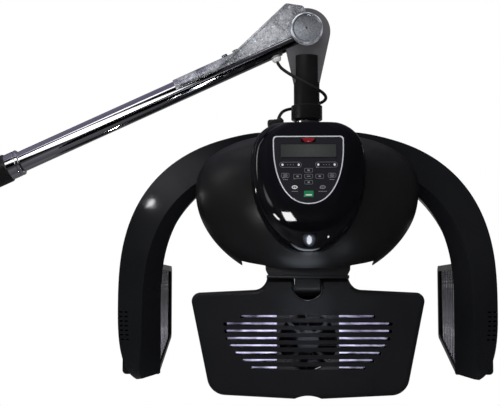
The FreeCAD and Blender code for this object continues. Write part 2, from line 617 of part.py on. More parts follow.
def make_swivel_spindle():
    """The head's spindle: a retaining ring over the bush, a bright ring under it, a flange and a stud."""
    ring_top = "-post_collar_bottom - 1.2 - seat_gap"
    turned_body("swivel_spindle", [
        ("0", "5 - swivel_top"), ("swivel_radius + 3", "5 - swivel_top"),
        ("swivel_radius + 3", "seat_gap - swivel_top - 2"), ("swivel_radius", "seat_gap - swivel_top - 2"),
        ("swivel_radius", ring_top), ("swivel_ring_radius - 1", ring_top),
        ("swivel_ring_radius", f"{ring_top} - 1"), ("swivel_ring_radius", f"{ring_top} - 5"),
        ("swivel_ring_radius - 2", f"{ring_top} - 6"), ("swivel_ring_radius - 2", "3 - cover_top"),
        ("swivel_ring_radius + 6", "3 - cover_top"), ("swivel_ring_radius + 7", "2 - cover_top"),
        ("swivel_ring_radius + 7", "-cover_top"), ("mount_stud_radius", "-cover_top"),
        ("mount_stud_radius", "-cover_top - mount_stud_length"), ("0", "-cover_top - mount_stud_length")],
        x=POST_X, z=ELBOW_Z)


# ---------------------------------------------------------------- cords
def cord_arc(before, corner, after):
    """The arc that rounds one corner of a route: its two ends, its middle and its radius."""
    back, ahead = before - corner, after - corner
    run = 0.45 * min(back.Length, ahead.Length)
    back.normalize()
    ahead.normalize()
    half_turn = (math.pi - back.getAngle(ahead)) / 2
    radius = run / math.tan(half_turn)
    middle = back + ahead
    middle.normalize()
    centre = corner + middle * (radius / math.cos(half_turn))
    return corner + back * run, centre - middle * radius, corner + ahead * run, radius


def cord_tube(route, name):
    """A tube along straight runs joined by tangent arcs."""
    edges, here, radii = [], route[0], []
    for before, corner, after in zip(route, route[1:], route[2:]):
        start, middle, finish, radius = cord_arc(before, corner, after)
        edges += [Part.makeLine(here, start), Part.Arc(start, middle, finish).toShape()]
        here = finish
        radii.append(round(radius, 1))
    edges.append(Part.makeLine(here, route[-1]))
    path = Part.Wire(edges)
    circle = Part.Wire(Part.makeCircle(size.cord_radius, route[0], route[1] - route[0]))
    tube = path.makePipeShell([circle], True, False)
    expected = math.pi * size.cord_radius ** 2 * path.Length
    print(f"{name}: length {path.Length:.0f} mm, radii {radii}, volume ratio {tube.Volume / expected:.4f}")
    return tube


CORD_UPPER = [Vector(*spot) for spot in (
    (-43.8, 0, -46), (-40.5, -8, -54), (-31.5, -17, -63), (-18, -25, -73), (-2, -29, -83), (15, -26, -91),
    (27, -14, -97), (30, 3, -101.5), (22, 18.5, -105), (7.5, 26.5, -107.5), (-7, 27.2, -109.5))]
CORD_LOWER = [Vector(*spot) for spot in (
    (-7, 27.2, -109.5), (-20.8, 27.9, -111.4), (-32.3, 21.6, -114.6), (-39.6, 13.8, -121), (-42.8, 8.8, -130))]


def make_cords():
    add_feature("cord_upper", cord_tube(CORD_UPPER, "cord_upper"), HEAD_PLACE)
    add_feature("cord_lower", cord_tube(CORD_LOWER, "cord_lower"), HEAD_PLACE)


def make_cord_plug():
    """The plug's boot and body, leaning down into the socket that stands on the head."""
    foot = CORD_LOWER[-1]
    way = foot - CORD_LOWER[-2]
    way.normalize()
    radius, length = size.plug_radius, size.plug_length
    boot = turned([(0, 0), (size.cord_radius + 1.2, 0), (radius * 0.75, length * 0.35), (radius, length * 0.4),
                   (radius, length), (0, length)], way, foot, way.cross(Y_AXIS).normalize())
    add_feature("cord_plug", boot, HEAD_PLACE)
    collar = rod(radius + size.socket_skin, foot + way * (length - size.socket_grip), foot + way * 2 * length)
    socket = collar.cut(boot).cut(dome_solid()).cut(cover_solid())
    socket = sorted(socket.Solids, key=lambda one: one.CenterOfMass.z)[-1]
    add_feature("cord_socket", socket, HEAD_PLACE)


# ---------------------------------------------------------------- head shells
def dome_scale(depth_share):
    return (1 - depth_share ** size.dome_depth_power) ** (1 / size.dome_depth_power)


def dome_outline(y, scale, inset=0.0):
    """The dome's upright outline at one depth: flatter above its widest line than below it."""
    spots = []
    for k in range(24):
        turn = k * 15
        upper = turn <= 180
        power = size.dome_upper_power if upper else size.dome_lower_power
        rise = size.dome_widest - size.dome_top if upper else size.dome_bottom - size.dome_widest
        quarter = turn if turn <= 90 else 180 - turn if upper else turn - 180 if turn <= 270 else 360 - turn
        x, z = superellipse(size.dome_half_width * scale - inset, rise * scale - inset, power, quarter)
        x = x if turn <= 90 or turn >= 270 else -x
        z = z if upper else -z
        middle = -size.dome_centre + (size.dome_centre - size.dome_widest) * scale
        spots.append(Vector(x, y, middle + z))
    return closed_curve(spots)


def dome_solid(inset=0.0):
    back, depth = size.dome_back, size.dome_depth - inset
    shares = (0, 0.2, 0.4, 0.58, 0.74, 0.86, 0.95)
    wires = [dome_outline(back - depth * share, dome_scale(share), inset) for share in shares]
    return Part.makeLoft(wires, True, False)


def lip_cutter():
    """Everything under the dome's lower lip, with a step up beside each cusp."""
    half = [(size.lip_half_width, size.lip_side), (size.lip_half_width - 12, size.lip_shoulder),
            (size.lip_shoulder_half_width, size.lip_corner),
            (size.lip_shoulder_half_width * 0.6, size.lip_middle - 0.8),
            (0, size.lip_middle)]
    right = [(x, -drop) for x, drop in half]
    left = [(-x, z) for x, z in reversed(right[:-1])]
    floor = -size.dome_bottom - 20
    outline = [(size.lip_half_width, floor)] + right + left + [(-size.lip_half_width, floor)]
    return prism(outline, -size.dome_depth * 2, size.dome_depth)


def dome_wall_solid():
    return dome_solid().cut(dome_solid(size.dome_wall)).cut(lip_cutter())


def make_head_shell():
    stud = rod(size.mount_stud_radius + 0.5, Vector(0, 0, -size.dome_top - 20), Vector(0, 0, -size.dome_top + 20))
    add_feature("head_shell", dome_wall_solid().cut(stud), HEAD_PLACE)


def cover_half_width(drop):
    if drop < size.cover_widest:
        share = (size.cover_widest - drop) / (size.cover_widest - size.cover_top + 4)
        power = size.cover_upper_power
    else:
        share = (drop - size.cover_widest) / (size.cover_bottom - size.cover_widest)
        power = size.cover_lower_power
    return size.cover_half_width * max(1 - share ** power, 0) ** (1 / power)


def cover_front(drop):
    """How far the cover's middle stands forward at a height: a straight slope, then a round belly."""
    if drop < size.cover_belly:
        share = (drop - size.cover_top) / (size.cover_belly - size.cover_top)
        return size.cover_front_top + (size.cover_front_belly - size.cover_front_top) * share
    share = (drop - size.cover_belly) / (size.cover_bottom - size.cover_belly)
    fall = size.cover_front_belly - size.cover_front_bottom
    return size.cover_front_bottom + fall * math.sqrt(max(1 - share ** 2, 0))


def cover_section(drop, inset=0.0):
    half = cover_half_width(drop) - inset
    shoulder, back = -size.cover_shoulder, size.cover_back
    share = (drop - size.cover_top) / (size.cover_bottom - size.cover_top)
    power = size.cover_top_power - size.cover_power_fall * share
    depth = cover_front(drop) + shoulder - inset
    front = []
    for k in range(13):
        x, y = superellipse(half, depth, power, 15 * k if k <= 6 else 180 - 15 * k)
        front.append(Vector(x if k <= 6 else -x, shoulder - y, -drop))
    curve = Part.BSplineCurve()
    curve.interpolate(front)
    corners = [Vector(-half, back, -drop), Vector(half, back, -drop)]
    return Part.Wire([curve.toShape(), Part.makeLine(front[-1], corners[0]), Part.makeLine(*corners),
                      Part.makeLine(corners[1], front[0])])


COVER_STATIONS = (158, 172, 192, 222, 250, 274, 296, 314, 328)


def cover_solid(inset=0.0):
    drops = (size.cover_top + inset, *COVER_STATIONS, size.cover_crown_drop - inset)
    return Part.makeLoft([cover_section(drop, inset) for drop in drops], True, False)


def panel_place():
    """The keypad's own frame: x across, y up the slope, z out of the panel."""
    turn = Rotation(X_AXIS, 90 - size.panel_tilt)
    return Placement(Vector(0, -size.panel_front, -size.panel_top), turn)


def panel_outline(inset=0.0):
    """The shield: square shoulders with round corners, sides closing to a round foot."""
    half, length, start = size.panel_half_width - inset, size.panel_length - inset, size.panel_side
    spots = [Vector(*superellipse(half, length - start, size.panel_side_power, turn), 0) for turn in range(0, 91, 15)]
    right = [Vector(v.x, -start - v.y, 0) for v in spots]
    left = [Vector(-v.x, v.y, 0) for v in reversed(right[:-1])]
    curve = Part.BSplineCurve()
    curve.interpolate(right + left)
    corner = size.panel_corner
    top, bow = -inset, corner * (1 - math.sqrt(0.5))
    low_left, high_left = left[-1], Vector(-half, top - corner, 0)
    arc_left = Part.Arc(high_left, Vector(-half + bow, top - bow, 0),
                        Vector(-half + corner, top, 0))
    arc_right = Part.Arc(Vector(half - corner, top, 0), Vector(half - bow, top - bow, 0),
                         Vector(half, top - corner, 0))
    return Part.Wire([curve.toShape(), Part.makeLine(low_left, high_left), arc_left.toShape(),
                      Part.makeLine(Vector(-half + corner, top, 0), Vector(half - corner, top, 0)),
                      arc_right.toShape(), Part.makeLine(Vector(half, top - corner, 0), right[0])])


def panel_plate(inset, low, high):
    face = Part.Face(panel_outline(inset))
    face.translate(Vector(0, 0, low))
    plate = face.extrude(Vector(0, 0, high - low))
    plate.Placement = panel_place()
    return plate


def panel_block(half_width, drop, length, low, high):
    plate = block(-half_width, half_width, -drop - length, -drop, low, high)
    plate.Placement = panel_place()
    return plate


def make_control_cover():
    cover = cover_solid().cut(cover_solid(size.cover_wall)).cut(dome_solid())
    cover = cover.cut(panel_plate(-size.panel_recess_gap, -size.panel_thickness, size.cover_wall * 5))
    reach, radius, top = size.bump_reach, size.bump_radius, -size.cover_top
    bump = Part.makeSphere(radius, Vector(reach, -reach, top - size.bump_sink))
    crown = block(reach - radius, reach + radius, -reach - radius, -reach + radius, top - 1, top + radius)
    cover = cover.fuse(bump.common(crown))
    room = size.mount_stud_radius + size.seat_gap
    stud = rod(room, Vector(0, 0, top - size.mount_stud_length), Vector(0, 0, top + size.mount_stud_length))
    solids = sorted(cover.cut(stud).Solids, key=lambda one: one.Volume)
    add_feature("control_cover", solids[-1], HEAD_PLACE)


def make_keypad():
    """The keypad, the bright line round it, its window and its lamp, all seated in the cover's recess."""
    thick, trim = size.panel_thickness, size.trim_width
    window = [size.window_width / 2, size.window_drop, size.window_height, -thick, 0]
    lamp = [size.lamp_width / 2, size.lamp_drop, size.lamp_height, -thick, 0]
    pad = panel_plate(trim, -thick, 0).cut(panel_block(*window)).cut(panel_block(*lamp))
    add_feature("keypad_panel", pad, HEAD_PLACE)
    edge = panel_plate(0, -thick, size.trim_height).cut(panel_plate(trim, -thick - 1, size.trim_height + 1))
    add_feature("panel_trim", edge, HEAD_PLACE)
    add_feature("display_window", panel_block(*window[:4], size.window_height_proud), HEAD_PLACE)
    add_feature("status_lamp", panel_block(*lamp[:4], size.window_height_proud), HEAD_PLACE)


def make_control_board():
    """The circuit board behind the keypad, on four pillars cut to the cover's curved inner face."""
    skin = size.cover_wall
    low = -skin - size.board_gap - size.board_thickness
    board = panel_block(size.board_half_width, size.board_drop, size.board_length, low, low + size.board_thickness)
    for side in (-1, 1):
        for drop in (size.pillar_high, size.pillar_low):
            across = side * size.pillar_across
            pillar = rod(size.pillar_radius, Vector(across, -drop, low + size.board_thickness / 2),
                         Vector(across, -drop, -size.panel_thickness))
            pillar.Placement = panel_place()
            board = board.fuse(pillar)
    board = board.cut(cover_solid().cut(cover_solid(skin)))
    add_feature("control_board", sorted(board.Solids, key=lambda one: one.Volume)[-1], HEAD_PLACE)


def make_head_chassis():
    """The steel plate across the dome's open back, with the spindle's block, a bottom flange and a rear stay."""
    front, back = size.neck_back, size.neck_back + size.chassis_thickness
    face = Part.Face(dome_outline(front, 1.0, size.dome_wall + size.seat_gap))
    plate = face.extrude(Vector(0, size.chassis_thickness, 0))
    low = -size.lip_side + 1
    plate = plate.common(block(-300, 300, -300, 300, low, 0))
    mount = block(-size.mount_block_half_width, size.mount_block_half_width, -size.mount_block_height,
                  front + 1, -size.cover_top - size.mount_stud_length, -size.dome_top - size.dome_wall - 2)
    flange = block(-size.lip_half_width + 4, size.lip_half_width - 4, -6, front + 1, low,
                   low + size.chassis_thickness)
    stay = block(-size.stay_half_width, size.stay_half_width, back - 1, size.rear_front, -size.stay_bottom,
                 -size.stay_top)
    chassis = plate.fuse(mount).fuse(flange).fuse(stay)
    chassis = chassis.cut(rod(size.mount_stud_radius, Vector(0, 0, -400), Vector(0, 0, 0)).common(
        block(-30, 30, -30, 30, -190, -140)))
    for side in (-1, 1):
        spot = Vector(side * size.arm_hub_offset, 0, -size.arm_hub_drop)
        chassis = chassis.cut(rod(size.arm_pin_radius, spot, spot + Y_AXIS * 40))
        screw = Vector(side * size.shell_screw_offset, 2, low)
        chassis = chassis.cut(rod(2, screw - Z_AXIS * 5, screw + Z_AXIS * 10))
    add_feature("head_chassis", chassis.cut(dome_wall_solid()), HEAD_PLACE)


def make_arm_pins():
    """Two shouldered pins from the chassis: the side arms turn on them."""
    pins = []
    for side in (-1, 1):
        foot = Vector(side * size.arm_hub_offset, size.neck_back, -size.arm_hub_drop)
        head = Vector(foot.x, size.rear_front - size.arm_pin_head, foot.z)
        shank = rod(size.arm_pin_radius, foot, head)
        pins.append(shank.fuse(rod(size.arm_pin_head_radius, head, head + Y_AXIS * size.arm_pin_head)))
    add_feature("arm_pins", Part.makeCompound(pins), HEAD_PLACE)


def rear_outline(inset=0.0):
    middle = -(size.rear_top + size.rear_bottom) / 2
    rise = (size.rear_bottom - size.rear_top) / 2 - inset
    spots = []
    for k in range(24):
        turn = math.radians(15 * k)
        x, z = superellipse(size.rear_half_width - inset, rise, 2.6, 15 * k if k <= 6 else
                            180 - 15 * k if k <= 12 else 15 * k - 180 if k <= 18 else 360 - 15 * k)
        x, z = math.copysign(x, math.cos(turn)), math.copysign(z, math.sin(turn))
        spots.append(Vector(x, size.rear_front, middle + z))
    return closed_curve(spots)


def rear_solid(inset=0.0):
    """A shallow bowl: full outline in front, drawn in over its last third."""
    wires = []
    for share, shrink in ((0, 0), (0.5, 2), (0.85, 8), (1, 18)):
        wire = rear_outline(inset + shrink)
        wire.translate(Vector(0, (size.rear_depth - inset) * share, 0))
        wires.append(wire)
    return Part.makeLoft(wires, True, False)


def make_rear_shell():
    hollow = rear_solid(size.dome_wall)
    shell = rear_solid().cut(hollow)
    floor = size.rear_front + size.rear_depth - size.dome_wall + 0.5
    web = block(-size.stay_half_width, size.stay_half_width, size.rear_front, floor, -size.stay_bottom,
                -size.stay_top)
    pads = [rod(size.arm_pin_head_radius, Vector(side * size.arm_hub_offset, size.rear_front, -size.arm_hub_drop),
                Vector(side * size.arm_hub_offset, floor, -size.arm_hub_drop)) for side in (-1, 1)]
    for solid in [web] + pads:
        shell = shell.fuse(solid)
    slots = [block(-40, 40, size.rear_front + 5, size.rear_front + size.rear_depth + 5, z, z + 3)
             for z in range(-250, -205, 9)]
    add_feature("rear_shell", shell.cut(Part.makeCompound(slots)), HEAD_PLACE)


def make_shell_screws():
    screws = []
    for side in (-1, 1):
        foot = Vector(side * size.shell_screw_offset, 2, 1 - size.lip_side)
        head = rod(size.shell_screw_radius, foot - Z_AXIS * 2, foot)
        screws.append(head.fuse(rod(2, foot, foot + Z_AXIS * 6)))
    add_feature("shell_screws", Part.makeCompound(screws), HEAD_PLACE)


def make_neck_bracket():
    """The tapered neck under the chassis and its rounded tongue, which carries the centre heater's hinge."""
    bottom, half = -size.neck_bottom, size.neck_bottom_half_width
    top = -size.lip_side + 1
    outline = [(-half - 5, top), (half + 5, top), (half + 4, bottom + 8), (half, bottom), (-half, bottom),
               (-half - 4, bottom + 8)]
    neck = prism(outline, size.neck_front, size.neck_back)
    hinge = Vector(0, size.hinge_y, -size.hinge_drop)
    across = X_AXIS * size.tongue_half_width
    tongue = rod(size.tongue_radius, hinge - across, hinge + across)
    stem = block(-size.tongue_half_width, size.tongue_half_width, size.hinge_y - size.tongue_radius,
                 min(size.hinge_y + size.tongue_radius, size.neck_back), -size.hinge_drop, bottom + 1)
    neck = neck.fuse(stem).fuse(tongue)
    neck = neck.cut(rod(size.hinge_pin_radius + size.running_gap, hinge - X_AXIS * 200, hinge + X_AXIS * 200))
    add_feature("neck_bracket", neck.cut(dome_wall_solid()), HEAD_PLACE)


# ---------------------------------------------------------------- centre heater
def centre_corners():
    """Right half of the front outline, neck to foot: x, z and the radius that rounds the corner."""
    return [(size.centre_neck_half_width, -size.centre_neck_top, 0),
            (size.centre_neck_half_width + 2, -size.centre_shoulder, size.centre_flare_radius),
            (size.centre_top_half_width, -size.centre_top_corner, size.centre_top_radius),
            (size.centre_low_half_width, -size.centre_low_corner, size.centre_low_radius)]


def centre_prism(front, back, inset=0.0):
    """The centre heater's outline extruded along y, with its corners rounded."""
    right = centre_corners()
    middle = [(0, -size.centre_bottom, 0)]
    left = [(-x, z, radius) for x, z, radius in reversed(right)]
    corners = right + middle + left
    spots = inset_polygon([Vector(x, front, z) for x, z, _ in corners], inset)
    solid = Part.Face(Part.makePolygon(spots + spots[:1])).extrude(Vector(0, back - front, 0))
    for spot, (_, _, radius) in zip(spots, corners):
        if radius:
            solid = rounded(solid, radius - inset, lambda edge: runs_along(edge, Y_AXIS)
                            and math.hypot(edge.CenterOfMass.x - spot.x, edge.CenterOfMass.z - spot.z) < 0.01)
    return solid


def thumb_notch(front, back, skin=0.0):
    """The shallow arch under the centre heater, for a thumb."""
    half, rise = size.notch_half_width, size.notch_rise
    radius = (half ** 2 + rise ** 2) / (2 * rise)
    centre = Vector(0, 0, -size.centre_bottom + rise - radius)
    return rod(radius + skin, centre + Y_AXIS * front, centre + Y_AXIS * back)


def hinge_at():
    return Vector(0, size.hinge_y, -size.hinge_drop)


def centre_neck_relief():
    """What is taken off the heater's neck: its top, and the tongue's gap."""
    hinge = hinge_at()
    above = block(-200, 200, -200, 200, -size.centre_hood_drop, -300)
    half = size.tongue_half_width + size.hinge_side_gap
    gap = rod(size.tongue_radius + 1, hinge - X_AXIS * half, hinge + X_AXIS * half)
    slot = block(-half, half, -200, 200, -size.hinge_drop, -300)
    return above.fuse(gap).fuse(slot)


def centre_hood():
    """The front wall's lip, which curls back over the hinge barrels."""
    front, wall, hinge = size.centre_front, size.centre_wall, hinge_at()
    crown = hinge.z + size.neck_barrel_radius
    low = -size.hinge_drop
    outline = [(front, low), (front, -size.centre_hood_drop), (front + 2 * wall, crown - 3.8),
               (front + 4 * wall, crown - 2.2), (hinge.y - 4, crown - 0.6), (hinge.y - 4, crown - 3.6),
               (front + 5 * wall, crown - 4), (front + 2.4 * wall, crown - 6.6),
               (front + wall, -size.centre_hood_drop - 1.5), (front + wall, low)]
    spots = [Vector(-200, y, z) for y, z in outline]
    lip = Part.Face(Part.makePolygon(spots + spots[:1])).extrude(X_AXIS * 400)
    half = size.tongue_half_width + size.hinge_side_gap
    lip = lip.cut(block(-half, half, -200, 200, low - 1, -300))
    return lip.common(centre_prism(front, size.centre_split))


def scoop():
    """The round-bottomed opening at the top of the centre heater's front."""
    half, bottom = size.scoop_half_width, -size.scoop_bottom
    centre = Vector(0, 0, bottom + half)
    return rod(half, centre + Y_AXIS * -60, centre + Y_AXIS * (size.centre_front + size.scoop_depth)).fuse(
        block(-half, half, -60, size.centre_front + size.scoop_depth, centre.z, -300))


def slot_half_width(row):
    last = size.slot_count - 1
    if row == 0:
        return size.slot_top_half_width
    middle = (row - 1) / (last - 1)
    return size.slot_mid_half_width - (size.slot_mid_half_width - size.slot_low_half_width) * middle ** 2.2


def vent_slots(front, back):
    """The centre grille: a stack of thin round-ended slots, narrower at the top and the foot."""
    slots = []
    for row in range(int(size.slot_count)):
        z = -size.slot_top_drop - row * size.slot_pitch
        half, tip = slot_half_width(row), size.slot_height / 2
        slot = block(-half + tip, half - tip, front, back, z - tip, z + tip)
        for side in (-1, 1):
            end = Vector(side * (half - tip), 0, z)
            slot = slot.fuse(rod(tip, end + Y_AXIS * front, end + Y_AXIS * back))
        slots.append(slot)
    return Part.makeCompound(slots)


def make_centre_shell():
    front, split, wall = size.centre_front, size.centre_split, size.centre_wall
    outer = centre_prism(front, split)
    rim = [edge for edge in outer.Edges if edge.BoundBox.YMax < front + 1e-4
           and edge.BoundBox.ZMin < -size.centre_neck_top - 0.1]
    outer = outer.makeFillet(size.centre_edge_round, rim).cut(thumb_notch(front, split))
    hollow = centre_prism(front + wall, split, wall).cut(thumb_notch(front, split, wall))
    shell = outer.cut(hollow).cut(vent_slots(front - 5, front + wall + 5)).cut(centre_neck_relief())
    shell = shell.fuse(centre_hood()).cut(scoop())
    shell = sorted(shell.Solids, key=lambda one: one.Volume)[-1]
    add_feature("centre_shell", shell, HEAD_PLACE)


def rounded_window(half, upper, lower, corner, front, back):
    window = block(-half, half, front, back, -lower, -upper)
    return rounded(window, corner, lambda edge: runs_along(edge, Y_AXIS))


def make_centre_frame():
    """The rear half: a shallow tray with the heater's window, its neck a barrel on each side of the tongue."""
    split, back, wall = size.centre_split, size.centre_back, size.centre_wall
    hollow = centre_prism(split, back - wall, wall).cut(thumb_notch(split, back, wall))
    tray = centre_prism(split, back).cut(thumb_notch(split, back)).cut(hollow)
    tray = tray.cut(rounded_window(size.window_half_width, size.window_upper, size.window_lower, size.window_corner,
                                   back - wall - 1, back + 1)).cut(centre_neck_relief())
    hinge = hinge_at()
    for side in (-1, 1):
        near = side * (size.tongue_half_width + size.hinge_side_gap)
        far = side * size.centre_neck_half_width
        barrel = rod(size.neck_barrel_radius, Vector(near, hinge.y, hinge.z), Vector(far, hinge.y, hinge.z))
        lug = near + side * size.hinge_lug_width
        foot = block(min(near, lug), max(near, lug), hinge.y, back - wall + 0.5, hinge.z - size.neck_barrel_radius,
                     hinge.z - size.hinge_pin_radius - 2)
        tray = tray.fuse(barrel.fuse(foot).cut(centre_shell_space()))
    tray = tray.cut(rod(size.hinge_pin_radius, hinge - X_AXIS * 60, hinge + X_AXIS * 60))
    solids = sorted(tray.Solids, key=lambda one: one.Volume)
    add_feature("centre_frame", solids[-1], HEAD_PLACE)


def centre_shell_space():
    """What the front shell fills, which the rear half's barrels keep out of."""
    wall, front, split = size.centre_wall, size.centre_front, size.centre_split
    walls = centre_prism(front, split).cut(centre_prism(front + wall, split + 1, wall)).cut(centre_neck_relief())
    return walls.fuse(centre_hood())


def make_centre_hinge_pin():
    pin = doc.addObject("Part::Cylinder", "centre_hinge_pin")
    bind(pin, "Radius", "hinge_pin_radius")
    half = "(tongue_half_width + hinge_side_gap + hinge_lug_width)"
    bind(pin, "Height", f"2 * {half}")
    bind_place(pin, f"{POST_X} - {half}", "hinge_y", f"{ELBOW_Z} - hinge_drop", "0; 1; 0", "90")
    keep(pin, "centre_hinge_pin")


def reflector_ring(y, grow):
    """The reflector's four corners at one depth; the trough opens evenly from its floor to its rim."""
    floor = size.fan_front + size.fan_depth
    rim = size.centre_back - size.centre_wall - 2 * size.guard_wire_radius
    shrink = size.reflector_flare * (rim - y) / (rim - floor) - grow
    half, low, high = size.window_half_width - shrink, -size.window_lower + shrink, -size.window_upper - shrink
    return [Vector(-half, y, low), Vector(half, y, low), Vector(half, y, high), Vector(-half, y, high)]


def reflector_trough(low, high, grow):
    near, far = reflector_ring(low, grow), reflector_ring(high, grow)
    faces = [near, far]
    for k in range(4):
        after = (k + 1) % 4
        faces.append([near[k], near[after], far[after], far[k]])
    shell = Part.Shell([Part.Face(Part.makePolygon(spots + spots[:1])) for spots in faces])
    return Part.Solid(shell)


def make_centre_reflector():
    """A flared sheet-metal trough behind the window, with the fan's round hole in its floor."""
    floor = size.fan_front + size.fan_depth
    rim = size.centre_back - size.centre_wall - 2 * size.guard_wire_radius
    skin = size.sheet_thickness
    tray = reflector_trough(floor, rim, skin).cut(reflector_trough(floor + skin, rim + 1, 0))
    centre = Vector(0, 0, -size.fan_drop)
    add_feature("centre_reflector", tray.cut(rod(size.fan_bore, centre, centre + Y_AXIS * rim)), HEAD_PLACE)


def lamp_tube(start, finish):
    """A quartz tube with round ends."""
    way = finish - start
    way.normalize()
    radius = size.lamp_radius
    tube = rod(radius, start + way * radius, finish - way * radius)
    return tube.fuse(Part.makeSphere(radius, start + way * radius)).fuse(
        Part.makeSphere(radius, finish - way * radius))


def make_centre_lamps():
    half, y = size.lamp_length / 2, size.lamp_y
    floor = size.fan_front + size.fan_depth + size.sheet_thickness
    tubes, holders = [], []
    for way in (-1, 1):
        z = -size.fan_drop + way * size.lamp_spread
        tubes.append(lamp_tube(Vector(-half, y, z), Vector(half, y, z)))
        for side in (-1, 1):
            reach = [side * (half - size.lamp_radius - 2), side * (half - size.lamp_radius - 2 - size.holder_length)]
            holder = block(min(reach), max(reach), floor, y + size.holder_half, z - size.holder_half,
                           z + size.holder_half)
            holders.append(holder.cut(tubes[-1]))
    add_feature("centre_lamps", Part.makeCompound(tubes), HEAD_PLACE)
    add_feature("centre_lamp_holders", Part.makeCompound(holders), HEAD_PLACE)


def make_centre_guard():
    """The wire guard across the window: long wires on two uprights."""
    y = size.centre_back - size.centre_wall - size.guard_wire_radius
    half = size.window_half_width + 4
    low, high = -size.window_lower + 10, -size.window_upper - 10
    count = int((high - low) / size.guard_pitch) + 1
    step = (high - low) / (count - 1)
    guard = None
    for k in range(count):
        z = low + k * step
        wire = rod(size.guard_wire_radius, Vector(-half, y, z), Vector(half, y, z))
        guard = wire if guard is None else guard.fuse(wire)
    for x in (-half * 0.6, 0, half * 0.6):
        guard = guard.fuse(rod(size.guard_wire_radius, Vector(x, y - 2, low - 4), Vector(x, y - 2, high + 4)))
    add_feature("centre_guard", guard, HEAD_PLACE)


def make_centre_fan():
    """An axial fan: a square frame with four struts, and a rotor with pitched blades."""
    front, back = size.fan_front, size.fan_front + size.fan_depth
    centre, half = Vector(0, 0, -size.fan_drop), size.fan_half
    frame = block(-half, half, front, back, centre.z - half, centre.z + half)
    frame = rounded(frame, 6, lambda edge: runs_along(edge, Y_AXIS))
    frame = frame.cut(rod(size.fan_bore, centre + Y_AXIS * front, centre + Y_AXIS * back))
    hub = rod(size.fan_hub_radius - 1, centre + Y_AXIS * front, centre + Y_AXIS * (front + 2))
    struts = hub
    for turn in (45, 135):
        bar = block(-size.fan_bore - 3, size.fan_bore + 3, front, front + 2, -2.5, 2.5)
        bar.rotate(Vector(), Y_AXIS, turn)
        bar.translate(centre)
        struts = struts.fuse(bar)
    axle = rod(2, centre + Y_AXIS * front, centre + Y_AXIS * (back - 3))
    add_feature("centre_fan_frame", frame.fuse(struts).fuse(axle), HEAD_PLACE)
    low, high = front + 3, back - 1
    rotor = rod(size.fan_hub_radius, centre + Y_AXIS * low, centre + Y_AXIS * high)
    for k in range(int(size.fan_blade_count)):
        blade = block(size.fan_hub_radius - 3, size.fan_bore, -10, 10, -size.fan_blade_thickness / 2,
                      size.fan_blade_thickness / 2)
        blade.rotate(Vector(), X_AXIS, size.fan_blade_pitch)
        blade.rotate(Vector(), Y_AXIS, k * 360 / size.fan_blade_count)
        blade.translate(centre + Y_AXIS * (low + high) / 2)
        rotor = rotor.fuse(blade)
    sweep = rod(size.fan_bore - size.fan_tip_gap, centre + Y_AXIS * low, centre + Y_AXIS * high)
    rotor = rotor.common(sweep).cut(rod(2 + size.running_gap, centre + Y_AXIS * front, centre + Y_AXIS * (back - 3)))
    add_feature("centre_fan_rotor", rotor, HEAD_PLACE)


# ---------------------------------------------------------------- side arms (right one, then mirrored)
def arm_section(turn, inset=0.0):
    """One five-sided section: outer edge, ridge, inner edge and two back corners.

    A turn of 0 to 90 degrees runs up from the widest line to the root; a negative one runs down to the tip.
    """
    drop = size.arm_centre_drop
    if turn >= 0:
        ox, oz = superellipse(size.arm_outer_reach, size.arm_outer_rise, size.arm_power, turn)
        ix, iz = superellipse(size.arm_inner_reach, size.arm_inner_rise, size.arm_power, turn)
        share = min(turn / size.arm_blend_angle, 1)
        ridge_share = 0.39 - 0.23 * share
    else:
        fall = size.arm_tip_drop - drop
        dx, dz = superellipse(size.arm_outer_reach - size.arm_tip_half_width, fall, size.arm_power, -turn)
        ox, oz = size.arm_tip_half_width + dx, -dz
        ix, iz = size.arm_inner_reach, -dz * (size.side_low_front - drop) / fall
        share = 0
        ridge_share = 0.39 + 0.3 * (dz / fall) ** 3
    outer, inner = Vector(ox, 0, oz - drop), Vector(ix, 0, iz - drop)
    ridge_y = size.arm_ridge_y + (size.arm_root_y - size.arm_ridge_y) * share
    edge_y = size.arm_edge_y + (size.arm_root_edge_y - size.arm_edge_y) * share
    swell = min(max(turn - 12, 0) / (size.arm_blend_angle - 12), 1)
    back_y = size.side_front - size.seat_gap + size.arm_swell * math.sin(math.pi * swell) ** 2 - 3 * share
    across = outer - inner
    ridge = inner + across * ridge_share
    spots = [outer + Y_AXIS * edge_y, ridge + Y_AXIS * ridge_y, inner + Y_AXIS * edge_y,
             inner + across * 0.06 + Y_AXIS * back_y, outer - across * 0.08 + Y_AXIS * back_y]
    if inset:
        spots = inset_polygon(spots, inset)
    return Part.makePolygon(spots + spots[:1])


def inset_polygon(spots, inset):
    """Moves every side of a plane polygon inwards by the same distance."""
    normal = Vector()
    for here, after in zip(spots, spots[1:] + spots[:1]):
        normal += (here - spots[0]).cross(after - spots[0])
    normal.normalize()
    inner = []
    for before, here, after in zip(spots[-1:] + spots[:-1], spots, spots[1:] + spots[:1]):
        one, two = here - before, after - here
        one.normalize()
        two.normalize()
        spread = 1 + one.dot(two)
        inner.append(here + (normal.cross(one) + normal.cross(two)) * (inset / spread))
    return inner


def arm_solid(inset=0.0):
    turns = (size.arm_root_angle, 72, 62, 50, 39, 29, 20, 12, 0, -22, -42, -60, -76)
    return Part.makeLoft([arm_section(turn, inset) for turn in turns], True, False)


